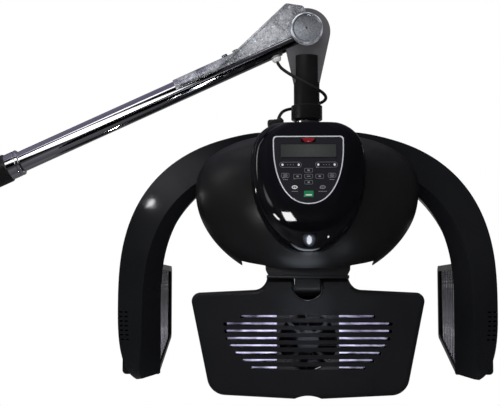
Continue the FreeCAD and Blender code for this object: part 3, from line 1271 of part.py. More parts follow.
def arm_hub():
    """The boss that turns on the arm's pin, its flat link and the plug that closes the arm's root."""
    spot = Vector(size.arm_hub_offset, 0, -size.arm_hub_drop)
    front = size.neck_back + size.chassis_thickness + size.seat_gap
    back = size.rear_front - size.arm_pin_head - size.seat_gap
    hub = rod(size.arm_hub_radius, spot + Y_AXIS * front, spot + Y_AXIS * back)
    skin = size.arm_wall / 2
    plug = Part.makeLoft([arm_section(size.arm_root_angle - lean, skin) for lean in (0, size.arm_plug_angle)], True)
    low, high = plug.BoundBox.ZMin, plug.BoundBox.ZMax
    inset, half = size.arm_link_inset, size.arm_hub_radius - size.arm_wall
    outline = [(spot.x, spot.z + half), (plug.BoundBox.XMax - 3 * inset, high - 2 * inset),
               (plug.BoundBox.XMax - 4 * inset, low + inset), (spot.x, spot.z - half)]
    return spot, hub.fuse(prism(outline, size.arm_root_edge_y, back - inset)).fuse(plug)


def arm_vents():
    """Pairs of short dashes through the outer front face, beside the heater."""
    outer = Vector(size.arm_outer_reach, size.arm_edge_y, 0)
    ridge = outer + (Vector(size.arm_inner_reach, 0, 0) - Vector(size.arm_outer_reach, 0, 0)) * 0.61
    ridge.y = size.arm_ridge_y
    face = outer - ridge
    turn = math.degrees(math.atan2(face.y, face.x))
    slots = []
    for row in range(int(size.arm_vent_count)):
        z = -size.arm_vent_top - row * size.arm_vent_pitch
        narrowing = 5 * (row / size.arm_vent_count) ** 2
        for share in (0.66, 0.88):
            spot = ridge + face * share
            slot = block(-size.arm_vent_length / 2, size.arm_vent_length / 2, -8, 8, -size.arm_vent_height / 2,
                         size.arm_vent_height / 2)
            slot.rotate(Vector(), Z_AXIS, turn)
            slot.translate(Vector(spot.x - narrowing, spot.y, z))
            slots.append(slot)
    return Part.makeCompound(slots)


def side_profile(inset=0.0):
    """The side heater's outline in the YZ plane; its foot rises towards the back."""
    front, back = size.side_front + inset, size.side_back - inset
    slope = (size.side_low_front - size.side_low_back) / (size.side_back - size.side_front)
    top, low_front = -size.side_top - inset, -size.side_low_front + inset * 1.04
    return [(front, top), (back, top), (back, low_front + slope * (back - front)), (front, low_front)]


def side_block(near, far, inset=0.0, corner=0.0):
    spots = [Vector(near, y, z) for y, z in side_profile(inset)]
    solid = Part.Face(Part.makePolygon(spots + spots[:1])).extrude(Vector(far - near, 0, 0))
    if corner:
        solid = rounded(solid, corner, lambda edge: runs_along(edge, X_AXIS) and edge.CenterOfMass.y > 100)
    return solid


def arm_nodes():
    """The pieces of one side arm, built for the right side: name and solid."""
    inner, outer, wall = size.side_inner, size.side_outer, size.side_wall
    lip = inner + size.side_rim_thickness
    spot, hub = arm_hub()
    hollow = arm_solid(size.arm_wall)
    shell = arm_solid().cut(hollow).fuse(hub)
    shell = shell.cut(rod(size.arm_pin_radius + size.running_gap, spot, spot + Y_AXIS * 100)).cut(arm_vents())
    shell = sorted(shell.Solids, key=lambda one: one.Volume)[-1]
    housing = side_block(lip, outer, 0, size.side_corner)
    back_rim = [edge for edge in housing.Edges if abs(edge.BoundBox.XMin - outer) < 1e-4
                and edge.CenterOfMass.y > size.side_front + 1]
    housing = housing.makeFillet(6, back_rim).cut(side_block(lip - 1, outer - wall, wall, size.side_corner - wall))
    vents = [block(outer - 10, outer + 10, y, y + 22, z, z + 3) for y in (110, 150, 190)
             for z in range(-430, -385, 9)]
    housing = housing.cut(Part.makeCompound(vents))
    rim = side_block(inner, lip, 0, size.side_corner).cut(side_block(inner - 1, lip + 1, size.side_rim, 6))
    skin, mouth, tray_inset = size.sheet_thickness, lip + size.side_tray_gap, size.side_rim - 2
    tray_back = mouth + size.side_tray_depth
    tray = side_block(mouth, tray_back, tray_inset, 5).fuse(
        side_block(mouth, mouth + skin, wall, size.side_corner - wall)).cut(
        side_block(mouth - 1, tray_back - skin, tray_inset + skin, 4))
    lamps, holders = [], []
    middle = (size.side_front + size.side_back) / 2 - 8
    for way in (-1, 1):
        y = middle + way * size.side_lamp_spread
        x = lip + size.side_lamp_depth
        top = -size.side_top - 18
        lamps.append(lamp_tube(Vector(x, y, top - size.side_lamp_length), Vector(x, y, top)))
        for z in (top - size.lamp_radius - 2, top - size.side_lamp_length + size.lamp_radius + 2 + 12):
            holder = block(x - 7, tray_back - skin, y - 7, y + 7, z - 12, z)
            holders.append(holder.cut(lamps[-1]))
    guard = None
    wire_x = lip + size.guard_wire_radius
    slope = (size.side_low_front - size.side_low_back) / (size.side_back - size.side_front)
    inset = size.side_rim - 3
    for k in range(9):
        y = size.side_front + inset + 10 + k * size.side_guard_pitch
        low = -size.side_low_front + slope * (y - size.side_front) + inset
        wire = rod(size.guard_wire_radius, Vector(wire_x, y, low), Vector(wire_x, y, -size.side_top - inset))
        guard = wire if guard is None else guard.fuse(wire)
    for z in (-size.side_top - 30, -size.side_top - 90):
        guard = guard.fuse(rod(size.guard_wire_radius, Vector(wire_x + 2, size.side_front + inset + 4, z),
                               Vector(wire_x + 2, size.side_back - inset - 4, z)))
    return {"arm_shell": shell, "heater_housing": housing, "heater_rim": rim, "reflector": tray,
            "lamps": Part.makeCompound(lamps), "lamp_holders": Part.makeCompound(holders), "guard": guard}


def make_side_arms():
    for name, solid in arm_nodes().items():
        add_feature(f"right_{name}", solid, HEAD_PLACE)
        add_feature(f"left_{name}", mirrored(solid), HEAD_PLACE)


def build_head():
    make_post_head()
    make_post_tube()
    make_post_collar()
    make_swivel_bush()
    make_swivel_spindle()
    make_cords()
    make_cord_plug()
    make_head_shell()
    make_control_cover()
    make_keypad()
    make_control_board()
    make_head_chassis()
    make_arm_pins()
    make_rear_shell()
    make_shell_screws()
    make_neck_bracket()
    make_centre_shell()
    make_centre_frame()
    make_centre_hinge_pin()
    make_centre_reflector()
    make_centre_lamps()
    make_centre_guard()
    make_centre_fan()
    make_side_arms()


def build_upper():
    make_wall_plate()
    make_socket_bushes()
    make_shoulder_fork()
    make_shoulder_pin()
    make_shoulder_caps()
    make_boom_hub()
    make_boom_sleeve()
    make_boom_collar()
    make_boom_tube()
    make_elbow_bracket()
    make_bracket_fixings()
    make_cord_grommet()
    make_elbow_pin()
    make_elbow_caps()


def check_and_export():
    """Stops on any failed object, then writes one STEP file per node."""
    doc.recompute()
    failed = [o.Name for o in doc.Objects if {"Invalid", "Error"} & set(o.State)]
    failed += [n.Label for n in NODES if n.Shape.isNull() or not n.Shape.isValid()]
    if failed:
        raise RuntimeError(f"these objects failed: {failed}")
    os.makedirs("parts", exist_ok=True)
    for node in NODES:
        node.Shape.exportStep(f"parts/{node.Label}.step")
    print(len(NODES), "nodes written")


build_upper()
build_head()
check_and_export()
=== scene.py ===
"""Looks of the wall-arm hair colour processor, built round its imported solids.

The file is laid out as an add-on and run as a script. Lengths are in metres, in the frame of the solids:
+X out of the wall, +Z up, control panel towards -Y.
"""
import json
import math

import bmesh
import bpy
from bpy.props import FloatProperty, FloatVectorProperty, IntProperty, PointerProperty
from mathutils import Matrix, Vector


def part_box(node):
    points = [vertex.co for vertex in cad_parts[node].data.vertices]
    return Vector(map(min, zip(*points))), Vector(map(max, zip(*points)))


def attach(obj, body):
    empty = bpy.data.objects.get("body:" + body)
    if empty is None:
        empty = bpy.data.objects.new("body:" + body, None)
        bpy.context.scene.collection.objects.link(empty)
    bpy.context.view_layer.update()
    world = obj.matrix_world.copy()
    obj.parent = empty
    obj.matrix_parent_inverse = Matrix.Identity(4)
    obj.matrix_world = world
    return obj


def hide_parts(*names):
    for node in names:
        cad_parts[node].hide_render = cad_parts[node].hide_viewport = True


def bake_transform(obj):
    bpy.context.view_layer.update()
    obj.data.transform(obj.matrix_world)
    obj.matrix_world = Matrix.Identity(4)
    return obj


bl_info = {
    "name": "Hair Colour Processor",
    "version": (1, 0, 0),
    "blender": (4, 5, 0),
    "location": "View3D > Sidebar > Processor",
    "description": "Finishes, printed keypad, cord, lamps and studio of a wall-arm hair colour processor",
    "category": "Object",
}

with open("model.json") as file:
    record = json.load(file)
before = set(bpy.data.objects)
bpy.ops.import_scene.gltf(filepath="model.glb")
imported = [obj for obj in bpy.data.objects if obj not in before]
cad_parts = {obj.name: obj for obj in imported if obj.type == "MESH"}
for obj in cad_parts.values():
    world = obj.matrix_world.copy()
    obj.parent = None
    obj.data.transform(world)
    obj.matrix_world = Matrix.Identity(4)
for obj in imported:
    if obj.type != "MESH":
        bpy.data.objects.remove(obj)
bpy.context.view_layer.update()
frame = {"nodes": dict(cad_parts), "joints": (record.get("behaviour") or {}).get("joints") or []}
JOINTS = {joint["name"]: joint for joint in frame["joints"]}
ELBOW = Vector(JOINTS["elbow_tilt"]["pos_m"])
BOOM_PIVOT = Vector(JOINTS["boom_tilt"]["pos_m"])
BOOM_WAY = (ELBOW - BOOM_PIVOT).normalized()
MM = 0.001
QUARTER_TURN = math.radians(90)
FOCAL_PIXELS, VIEW_WIDTH, VIEW_HEIGHT = 1066.67, 500, 406
# How far the view's middle lies from the horizon and from straight ahead, in its pixels.
PIXELS_LIFTED, PIXELS_TURNED = 87, 33


# ---------------------------------------------------------------- settings
def colour_property(name, description, value):
    return FloatVectorProperty(name=name, description=description, default=(*value, 1.0), size=4,
                               min=0, max=1, subtype="COLOR")


def length_property(name, description, value):
    return FloatProperty(name=name, description=description, default=value, min=0, unit="LENGTH", precision=5)


def angle_property(name, description, value):
    return FloatProperty(name=name, description=description, default=value, subtype="ANGLE")


FINISH_COLOURS = {
    "satin_black": ("Moulded dome and rear shell", (0.0072, 0.0074, 0.0080)),
    "gloss_black": ("Lacquered control cover", (0.0026, 0.0027, 0.0036)),
    "charcoal": ("Arms and heater shells", (0.0076, 0.0080, 0.0095)),
    "powder_black": ("Coated steel of post, sleeve and wall bracket", (0.0075, 0.0075, 0.0082)),
    "chrome": ("Plated tube and rings", (0.56, 0.565, 0.58)),
    "cast_chrome": ("Plated elbow casting", (0.42, 0.43, 0.46)),
    "cast_grey": ("Teardrop at the post's head", (0.090, 0.088, 0.095)),
    "steel": ("Turned caps and pins", (0.40, 0.42, 0.46)),
    "blackened": ("Chassis plate of the head", (0.030, 0.031, 0.034)),
    "white_plastic": ("Cord grommet", (0.72, 0.71, 0.69)),
    "ceramic": ("Lamp holders", (0.62, 0.59, 0.52)),
    "film": ("Printed film of the keypad", (0.0032, 0.0032, 0.0036)),
    "silver_line": ("Line round the keypad", (0.085, 0.088, 0.094)),
    "print_grey": ("Printed outlines of the keys", (0.16, 0.165, 0.17)),
    # Also the colour of the white spot painted on the status lens to stand in for light.
    "print_white": ("Bright printed marks", (0.62, 0.64, 0.63)),
    "start_green": ("The green key", (0.008, 0.16, 0.06)),
    "display": ("Liquid-crystal window, switched off", (0.036, 0.039, 0.037)),
    "lens_red": ("Status lamp", (0.34, 0.008, 0.014)),
    "solder_mask": ("Circuit board", (0.012, 0.085, 0.035)),
    "reflector": ("Bright sheet behind the lamps", (0.33, 0.35, 0.42)),
    "coil": ("Heating coil inside the quartz", (0.20, 0.17, 0.15)),
    "rubber": ("Cord, plug and socket", (0.012, 0.012, 0.012)),
    # Also the colour of the black screen behind the fan, which stands in for shade there.
    "fan": ("Moulded fan and its frame", (0.008, 0.008, 0.009)),
}


class FinishSettings(bpy.types.PropertyGroup):
    """The moulded edges' softness; the loop below adds the colours of the table above."""

    edge_radius: length_property("Edge radius", "How far a moulded edge is softened in shading", 0.0007)


for key, (note, value) in FINISH_COLOURS.items():
    FinishSettings.__annotations__[key] = colour_property(key.replace("_", " ").capitalize(), note, value)


class KeypadSettings(bpy.types.PropertyGroup):
    """Sizes of the printed keypad, in its own plane."""

    panel_drop: length_property("Panel drop", "Top of the keypad below the elbow pivot", 0.171)
    panel_front: length_property("Panel front", "Top of the keypad in front of the post's axis", 0.088)
    panel_tilt: angle_property("Panel tilt", "Lean of the keypad", math.radians(11))
    key_rise: length_property("Key rise", "How far a key's pad stands out of the film", 0.00035)
    line_width: length_property("Line width", "Width of a printed line", 0.00055)
    print_rise: length_property("Print rise", "Thickness of a printed mark", 0.00012)


class CordSettings(bpy.types.PropertyGroup):
    """The control cord."""

    diameter: length_property("Diameter", "Cord's outside diameter", 0.0048)
    sides: IntProperty(name="Sides", description="Sides of the cord's tube", default=20, min=8)


class LampSettings(bpy.types.PropertyGroup):
    """Heating coils."""

    coil_radius: length_property("Coil radius", "Radius of the heating coil", 0.0024)
    wire_radius: length_property("Wire radius", "Radius of the coil's wire", 0.00035)
    pitch: length_property("Pitch", "Distance from turn to turn", 0.0022)


class StageSettings(bpy.types.PropertyGroup):
    """Camera and studio."""

    focal_pixels: FloatProperty(name="Focal length", description="In the view's pixels", default=FOCAL_PIXELS)
    camera_offset: FloatVectorProperty(name="Camera offset", description="Camera from the elbow pivot",
                                       default=(-0.03644, -1.600, -0.3901), unit="LENGTH", size=3)
    camera_yaw: angle_property("Camera yaw", "Turn of the camera to the left",
                               math.atan(PIXELS_TURNED / FOCAL_PIXELS))
    camera_pitch: angle_property("Camera pitch", "Lift of the camera",
                                 math.atan(PIXELS_LIFTED / FOCAL_PIXELS))
    floor_drop: length_property("Floor drop", "Floor below the wall plate's centre", 0.75)
    floor_radius: length_property("Floor radius", "Reach of the floor", 4.4)
    room_level: FloatProperty(name="Room level", description="Strength of the mirrored room", default=1.0)
    fill_level: FloatProperty(name="Fill level", description="Strength of the soft light", default=0.55)


def settings():
    return bpy.context.scene.processor


# ---------------------------------------------------------------- node helpers
BEVEL_SAMPLES = 6


def new_group(name, inputs, outputs):
    """A shader node group from {input: (kind, default)} and {output: kind}, with its two ends."""
    group = bpy.data.node_groups.new(name, "ShaderNodeTree")
    for label, (kind, default) in inputs.items():
        socket = group.interface.new_socket(label, in_out="INPUT", socket_type=f"NodeSocket{kind}")
        socket.default_value = default
    for label, kind in outputs.items():
        group.interface.new_socket(label, in_out="OUTPUT", socket_type=f"NodeSocket{kind}")
    source = group.nodes.new("NodeGroupInput")
    sink = group.nodes.new("NodeGroupOutput")
    return Wiring(group), source.outputs, sink.inputs


class Wiring:
    """Adds nodes to one tree and links them."""

    def __init__(self, tree):
        self.tree = tree
        self.object_place = None

    def put(self, target, value):
        if isinstance(value, bpy.types.NodeSocket):
            self.tree.links.new(value, target)
        else:
            target.default_value = value

    def node(self, kind, inputs=None, **settings):
        made = self.tree.nodes.new(kind)
        for name, value in settings.items():
            setattr(made, name, value)
        for name, value in (inputs or {}).items():
            self.put(made.inputs[name], value)
        return made

    def math(self, operation, one, two=0.0):
        return self.node("ShaderNodeMath", {0: one, 1: two}, operation=operation).outputs[0]

    def vector(self, operation, one, two=None):
        """Both outputs of a vector operation."""
        inputs = {0: one} if two is None else {0: one, 1: two}
        return self.node("ShaderNodeVectorMath", inputs, operation=operation).outputs

    def ramp(self, value, low, high, to_low=0.0, to_high=1.0):
        inputs = {"Value": value, "From Min": low, "From Max": high, "To Min": to_low, "To Max": to_high}
        return self.node("ShaderNodeMapRange", inputs).outputs["Result"]

    def noise(self, scale, detail=3.0, roughness=0.5, where=None):
        where = self.place() if where is None else where
        inputs = {"Vector": where, "Scale": scale, "Detail": detail, "Roughness": roughness}
        return self.node("ShaderNodeTexNoise", inputs).outputs["Fac"]

    def clouds(self, scale, span, target=(0.0, 1.0), **noise):
        """Noise with a span of its values stretched over a target."""
        return self.ramp(self.noise(scale, **noise), *span, *target)

    def mix(self, share, one, two):
        made = self.node("ShaderNodeMix", data_type="RGBA")
        for socket, value in zip((made.inputs["Factor"], made.inputs[6], made.inputs[7]), (share, one, two)):
            self.put(socket, value)
        return made.outputs[2]

    def bump(self, height, distance, normal=None):
        inputs = {"Height": height, "Strength": 1.0, "Distance": distance}
        if normal is not None:
            inputs["Normal"] = normal
        return self.node("ShaderNodeBump", inputs).outputs["Normal"]

    def bevel(self, radius):
        return self.node("ShaderNodeBevel", {"Radius": radius}, samples=BEVEL_SAMPLES).outputs["Normal"]

    def place(self):
        """The spot on the object, from one node for the whole tree."""
        if self.object_place is None:
            self.object_place = self.node("ShaderNodeTexCoord").outputs["Object"]
        return self.object_place

    def shared(self, name, **inputs):
        made = self.tree.nodes.new("ShaderNodeGroup")
        made.node_tree = bpy.data.node_groups[name]
        for label, value in inputs.items():
            self.put(made.inputs[label.replace("_", " ")], value)
        return made.outputs


# ---------------------------------------------------------------- effects shared by the finishes
def make_soft_edge_grain():
    """Rounded edges, a slow wave and a fine moulded grain in one normal."""
    wire, given, out = new_group("Soft Edge Grain", {
        "Edge Radius": ("Float", 0.0007), "Grain Scale": ("Float", 900.0), "Grain Depth": ("Float", 0.00004),
        "Wave Scale": ("Float", 14.0), "Wave Depth": ("Float", 0.0)}, {"Normal": "Vector"})
    edge = wire.bevel(given["Edge Radius"])
    wave = wire.bump(wire.noise(given["Wave Scale"], 2.0), given["Wave Depth"], edge)
    grain = wire.bump(wire.noise(given["Grain Scale"], 2.0), given["Grain Depth"], wave)
    wire.put(out["Normal"], grain)


def make_tone():
    """A colour that drifts a little over the surface, with paler edges and dust where it faces up. The paler
    edges are edge wear, and on the elbow casting a painted highlight along its edges.
    """
    grey = (0.5, 0.5, 0.5, 1)
    wire, given, out = new_group("Surface Tone", {
        "Colour": ("Color", grey), "Edge Colour": ("Color", grey),
        "Dust Colour": ("Color", (0.30, 0.29, 0.27, 1)), "Drift": ("Float", 0.2), "Wear": ("Float", 0.3),
        "Dust": ("Float", 0.05)}, {"Colour": "Color"})
    cloud = wire.clouds(9.0, (0.3, 0.7), (-1.0, 1.0), detail=4.0)
    value = wire.math("ADD", wire.math("MULTIPLY", cloud, given["Drift"]), 1.0)
    drift = {"Color": given["Colour"], "Value": value}
    drifted = wire.node("ShaderNodeHueSaturation", drift).outputs["Color"]
    facing = wire.node("ShaderNodeNewGeometry").outputs["Normal"]
    # Paler edges: edge wear on most finishes, a painted highlight along the elbow casting's edges.
    edge = wire.ramp(wire.vector("DOT_PRODUCT", wire.bevel(0.0012), facing)["Value"], 0.995, 0.80)
    patches = wire.clouds(70.0, (0.42, 0.62), detail=5.0, roughness=0.65)
    edge_wear_and_highlight = wire.math("MULTIPLY", wire.math("MULTIPLY", edge, patches), given["Wear"])
    up = wire.node("ShaderNodeSeparateXYZ", {"Vector": facing}).outputs["Z"]
    settled = wire.clouds(35.0, (0.35, 0.75), detail=6.0, roughness=0.7)
    lying = wire.math("MULTIPLY", wire.ramp(up, 0.35, 1.0), settled)
    dusty = wire.math("MULTIPLY", lying, given["Dust"])
    with_pale_edges = wire.mix(edge_wear_and_highlight, drifted, given["Edge Colour"])
    wire.put(out["Colour"], wire.mix(dusty, with_pale_edges, given["Dust Colour"]))


def make_smudges():
    """Roughness that varies with handling marks and a few fine scratches."""
    wire, given, out = new_group("Handling Marks", {
        "Low": ("Float", 0.1), "High": ("Float", 0.2), "Scale": ("Float", 18.0),
        "Scratches": ("Float", 0.05)}, {"Roughness": "Float"})
    cloud = wire.clouds(given["Scale"], (0.35, 0.68), detail=5.0, roughness=0.6)
    span = wire.math("SUBTRACT", given["High"], given["Low"])
    base = wire.math("ADD", given["Low"], wire.math("MULTIPLY", cloud, span))
    turned = {"Vector": wire.place(), "Rotation": (0.4, 0.9, 0.5), "Scale": (900, 22, 900)}
    stretched = wire.node("ShaderNodeMapping", turned).outputs["Vector"]
    lines = wire.clouds(1.0, (0.70, 0.76), detail=1.0, where=stretched)
    scratches = wire.math("MULTIPLY", lines, given["Scratches"])
    wire.put(out["Roughness"], wire.math("ADD", base, scratches))


def make_turned_rings():
    """Fine rings round an axis along Y, as a lathe leaves them, and the distance from that axis."""
    wire, given, out = new_group("Turned Rings", {
        "Centre": ("Vector", (0, 0, 0)), "Pitch": ("Float", 0.0006), "Depth": ("Float", 0.00001),
        "Edge Radius": ("Float", 0.0006)}, {"Normal": "Vector", "Height": "Float", "Reach": "Float"})
    away = wire.vector("SUBTRACT", wire.place(), given["Centre"])["Vector"]
    flat = wire.vector("MULTIPLY", away, (1, 0, 1))["Vector"]
    reach = wire.vector("LENGTH", flat)["Value"]
    ripple = wire.math("SINE", wire.math("DIVIDE", wire.math("MULTIPLY", reach, math.tau), given["Pitch"]))
    broken = wire.math("MULTIPLY", ripple, wire.noise(120.0))
    wire.put(out["Normal"], wire.bump(broken, given["Depth"], wire.bevel(given["Edge Radius"])))
    wire.put(out["Height"], broken)
    wire.put(out["Reach"], reach)


# ---------------------------------------------------------------- finishes
class Finish(Wiring):
    """One material and its Principled shader."""

    def __init__(self, name, **constants):
        self.material = bpy.data.materials.new(name)
        self.material.use_nodes = True
        super().__init__(self.material.node_tree)
        self.shader = self.tree.nodes["Principled BSDF"]
        self.set(**constants)

    def set(self, **inputs):
        for label, value in inputs.items():
            self.put(self.shader.inputs[label.replace("_", " ")], value)


def paler(colour, times, lift=0.0):
    """A colour times a factor, plus a lift, with full opacity."""
    return (*(min(part * times + lift, 1.0) for part in list(colour)[:3]), 1.0)


def coat(look, colour, edge_colour, rough, drift, wear, dust, mark_scale, scratches, **grain):
    """Gives a look its tone, its handling marks and its grain."""
    tone = look.shared("Surface Tone", Colour=colour, Edge_Colour=edge_colour, Drift=drift, Wear=wear,
                       Dust=dust)
    marks = look.shared("Handling Marks", Low=rough[0], High=rough[1], Scale=mark_scale, Scratches=scratches)
    normal = look.shared("Soft Edge Grain", **grain)
    look.set(Base_Color=tone["Colour"], Roughness=marks["Roughness"], Normal=normal["Normal"])


def moulded(name, colour, rough, grain, wave=0.0, dust=0.04, wear=0.35, specular=0.14, **constants):
    """Moulded or coated black: fine grain, soft edges, handling marks, a little dust."""
    look = Finish(name, Specular_IOR_Level=specular, **constants)
    coat(look, colour, paler(colour, 2.2, 0.01), rough, 0.16, wear, dust, mark_scale=14.0, scratches=0.04,
         Edge_Radius=settings().finishes.edge_radius, Grain_Scale=1300.0, Grain_Depth=grain,
         Wave_Scale=16.0, Wave_Depth=wave)


def plated(name, colour, rough, ripple_scale, ripple_depth, wear=0.2):
    """Plated metal: bright, with a faint ripple and wiped marks."""
    look = Finish(name, Metallic=1.0)
    coat(look, colour, paler(colour, 1.2), rough, 0.10, wear, dust=0.02, mark_scale=22.0, scratches=0.06,
         Edge_Radius=0.0006, Grain_Scale=ripple_scale, Grain_Depth=ripple_depth, Wave_Scale=30.0)


def powder_coat(name, colour):
    """Coated steel with the coat's slow orange-peel wave."""
    moulded(name, colour, (0.26, 0.40), 0.00003, wave=0.00035, wear=0.45, specular=0.22)


def cast_chrome(name, colour):
    """The elbow casting: chrome over a mottled skin, so that it breaks reflections into patches, with painted
    glints as pale bluish specks in its colour and a painted highlight along its edges.
    """
    look = Finish(name, Specular_IOR_Level=0.6)
    mottle = look.noise(150.0, 5.0, 0.68)
    # Its paler edge colour paints a highlight along the casting's edges.
    tone = look.shared("Surface Tone", Colour=colour, Edge_Colour=paler(colour, 2.0), Drift=0.35, Wear=0.9,
                       Dust=0.02)
    spots = look.clouds(260.0, (0.50, 0.66), detail=4.0, roughness=0.7)
    dimmed = look.mix(look.math("MULTIPLY", spots, 0.75), tone["Colour"], paler(colour, 0.35))
    # Painted glints: small pale bluish specks mixed into the colour.
    painted_glints = look.clouds(240.0, (0.62, 0.68), detail=2.0)
    coarse = look.bump(mottle, 0.0008, look.bevel(0.0010))
    look.set(Base_Color=look.mix(painted_glints, dimmed, (0.80, 0.86, 0.95, 1)),
             Roughness=look.ramp(mottle, 0.35, 0.65, 0.16, 0.34),
             Metallic=look.clouds(48.0, (0.36, 0.60), (0.45, 1.0), detail=4.0, roughness=0.6),
             Normal=look.bump(look.noise(420.0), 0.00010, coarse))


# Where the caps' painted highlight ring starts and the width it fades in over, then the pitch and depth of
# the turning marks.
CAP_RIM, CAP_RIM_FADE, TURNING_PITCH, TURNING_DEPTH = 0.0219, 0.0005, 0.0007, 0.000012


def turned_steel(name, colour, centre):
    """Steel turned on a lathe about a cross axis, with fine marks and a pale, less metallic ring at its rim
    that is a painted highlight.
    """
    look = Finish(name, Anisotropic=0.35)
    tone = look.shared("Surface Tone", Colour=colour, Edge_Colour=paler(colour, 1.5), Drift=0.10, Wear=0.7,
                       Dust=0.02)
    rings = look.shared("Turned Rings", Centre=tuple(centre), Pitch=TURNING_PITCH, Depth=TURNING_DEPTH)
    marks = look.clouds(420.0, (0.42, 0.60), (0.0, 0.65), detail=4.0, roughness=0.7)
    face = look.mix(marks, tone["Colour"], paler(colour, 0.45))
    broken = look.clouds(70.0, (0.38, 0.55), (0.4, 1.0))
    # A painted highlight: a pale, less metallic ring, broken in places, round the cap's rim.
    bright = look.math("MULTIPLY", look.ramp(rings["Reach"], CAP_RIM, CAP_RIM + CAP_RIM_FADE), broken)
    look.set(Base_Color=look.mix(bright, face, paler(colour, 2.1)),
             Roughness=look.ramp(rings["Height"], -0.6, 0.6, 0.24, 0.38),
             Metallic=look.ramp(bright, 0.0, 1.0, 1.0, 0.25), Normal=rings["Normal"])


def bright_sheet(name, colour):
    """Smooth bright sheet, slightly wavy, with a faint heat tint."""
    look = Finish(name, Metallic=1.0)
    warm = look.clouds(9.0, (0.40, 0.70), (0.0, 0.6))
    look.set(Base_Color=look.mix(warm, paler(colour, 1.9), (0.66, 0.58, 0.84, 1)),
             Roughness=look.clouds(60.0, (0.3, 0.7), (0.08, 0.20), detail=4.0),
             Normal=look.bump(look.noise(22.0, 2.0), 0.0012))


def dimpled_reflector(name, colour):
    """Bright sheet with small round dimples and a faint heat tint."""
    look = Finish(name, Metallic=1.0)
    cells = {"Vector": look.place(), "Scale": 130.0, "Randomness": 0.55}
    dimple = look.ramp(look.node("ShaderNodeTexVoronoi", cells).outputs["Distance"], 0.0, 0.55)
    warm = look.clouds(12.0, (0.45, 0.75), (0.0, 0.35))
    look.set(Base_Color=look.mix(warm, colour, (0.62, 0.57, 0.66, 1)), Normal=look.bump(dimple, 0.0030),
             Roughness=look.clouds(60.0, (0.3, 0.7), (0.06, 0.16), detail=4.0))


def quartz(name):
    """Clear fused quartz with a faint haze and a slight violet drift."""
    look = Finish(name, Transmission_Weight=1.0, IOR=1.46)
    drift = look.clouds(25.0, (0.3, 0.7), detail=2.0)
    look.set(Base_Color=look.mix(drift, (0.96, 0.95, 1.0, 1), (0.90, 0.88, 0.97, 1)),
             Roughness=look.clouds(90.0, (0.3, 0.7), (0.01, 0.08), detail=4.0))


def coil_wire(name, colour):
    """Drawn resistance wire, darkened in patches by its heat."""
    look = Finish(name, Metallic=1.0)
    look.set(Base_Color=look.mix(look.clouds(160.0, (0.35, 0.65)), colour, paler(colour, 0.5)),
             Roughness=look.clouds(300.0, (0.3, 0.7), (0.35, 0.6)))


def filter_mesh_and_shade(name, colour):
    """Woven black mesh in front of the fan's opening; it also stands in for the shade inside the housing, as
    painted shade.
    """
    look = Finish(name, Specular_IOR_Level=0.3)
    bands = {"Vector": look.place(), "Scale": 260.0}
    threads = [look.node("ShaderNodeTexWave", bands, bands_direction=way).outputs["Fac"]
               for way in ("X", "Z")]
    weave = look.math("MULTIPLY", *threads)
    look.set(Base_Color=look.mix(weave, paler(colour, 0.4), paler(colour, 2.6)),
             Roughness=look.ramp(weave, 0.0, 1.0, 0.6, 0.35), Normal=look.bump(weave, 0.0004))


def printed(name, colour, roughness=0.42):
    """Screen ink: an even colour with the screen's fine weave and slightly thin spots."""
    look = Finish(name, Specular_IOR_Level=0.3)
    thin = look.clouds(700.0, (0.35, 0.7), (0.0, 0.35))
    look.set(Base_Color=look.mix(thin, colour, paler(colour, 0.6)),
             Roughness=look.clouds(1500.0, (0.3, 0.7), (roughness - 0.06, roughness + 0.08), detail=2.0),
             Normal=look.bump(look.noise(4000.0, 1.0), 0.000008))


def keypad_film(name, colour):
    """Matt polyester film, a little handled."""
    look = Finish(name, Specular_IOR_Level=0.16)
    tone = look.shared("Surface Tone", Colour=colour, Edge_Colour=paler(colour, 2.0), Drift=0.12, Wear=0.2,
                       Dust=0.03)
    rough = look.shared("Handling Marks", Low=0.24, High=0.40, Scale=45.0, Scratches=0.05)
    look.set(Base_Color=tone["Colour"], Roughness=rough["Roughness"],
             Normal=look.bump(look.noise(2200.0, 2.0), 0.000012))


def display_glass(name, colour):
    """The display switched off: a grey field, a little paler and greener towards its middle."""
    look = Finish(name, Specular_IOR_Level=0.5)
    low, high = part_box("display_window")
    away = look.vector("DISTANCE", look.place(), tuple((low + high) / 2))["Value"]
    field = look.mix(look.ramp(away, 0.045, 0.0), paler(colour, 0.72), paler(colour, 1.25, 0.004))
    cell = look.clouds(260.0, (0.4, 0.6), (0.0, 0.35), detail=2.0)
    rough = look.shared("Handling Marks", Low=0.07, High=0.16, Scale=50.0, Scratches=0.04)
    look.set(Base_Color=look.mix(cell, field, paler(colour, 0.85)), Roughness=rough["Roughness"])


def red_lens(name, colour):
    """Faceted red lens."""
    look = Finish(name, Specular_IOR_Level=0.5, Subsurface_Weight=0.15)
    cells = {"Vector": look.place(), "Scale": 700.0}
    facets = look.node("ShaderNodeTexVoronoi", cells).outputs["Distance"]
    look.set(Base_Color=look.mix(look.ramp(facets, 0.1, 0.6), paler(colour, 1.4), paler(colour, 0.35)),
             Roughness=look.ramp(facets, 0.0, 0.6, 0.12, 0.3), Normal=look.bump(facets, 0.0004))


def circuit_board(name, colour):
    """Green board with paler tracks."""
    look = Finish(name, Specular_IOR_Level=0.5)
    bricks = {"Vector": look.place(), "Scale": 55.0, "Mortar Size": 0.06}
    tracks = look.node("ShaderNodeTexBrick", bricks).outputs["Fac"]
    look.set(Base_Color=look.mix(tracks, colour, paler(colour, 2.2)),
             Roughness=look.clouds(200.0, (0.3, 0.7), (0.25, 0.4)), Normal=look.bump(tracks, 0.00005))


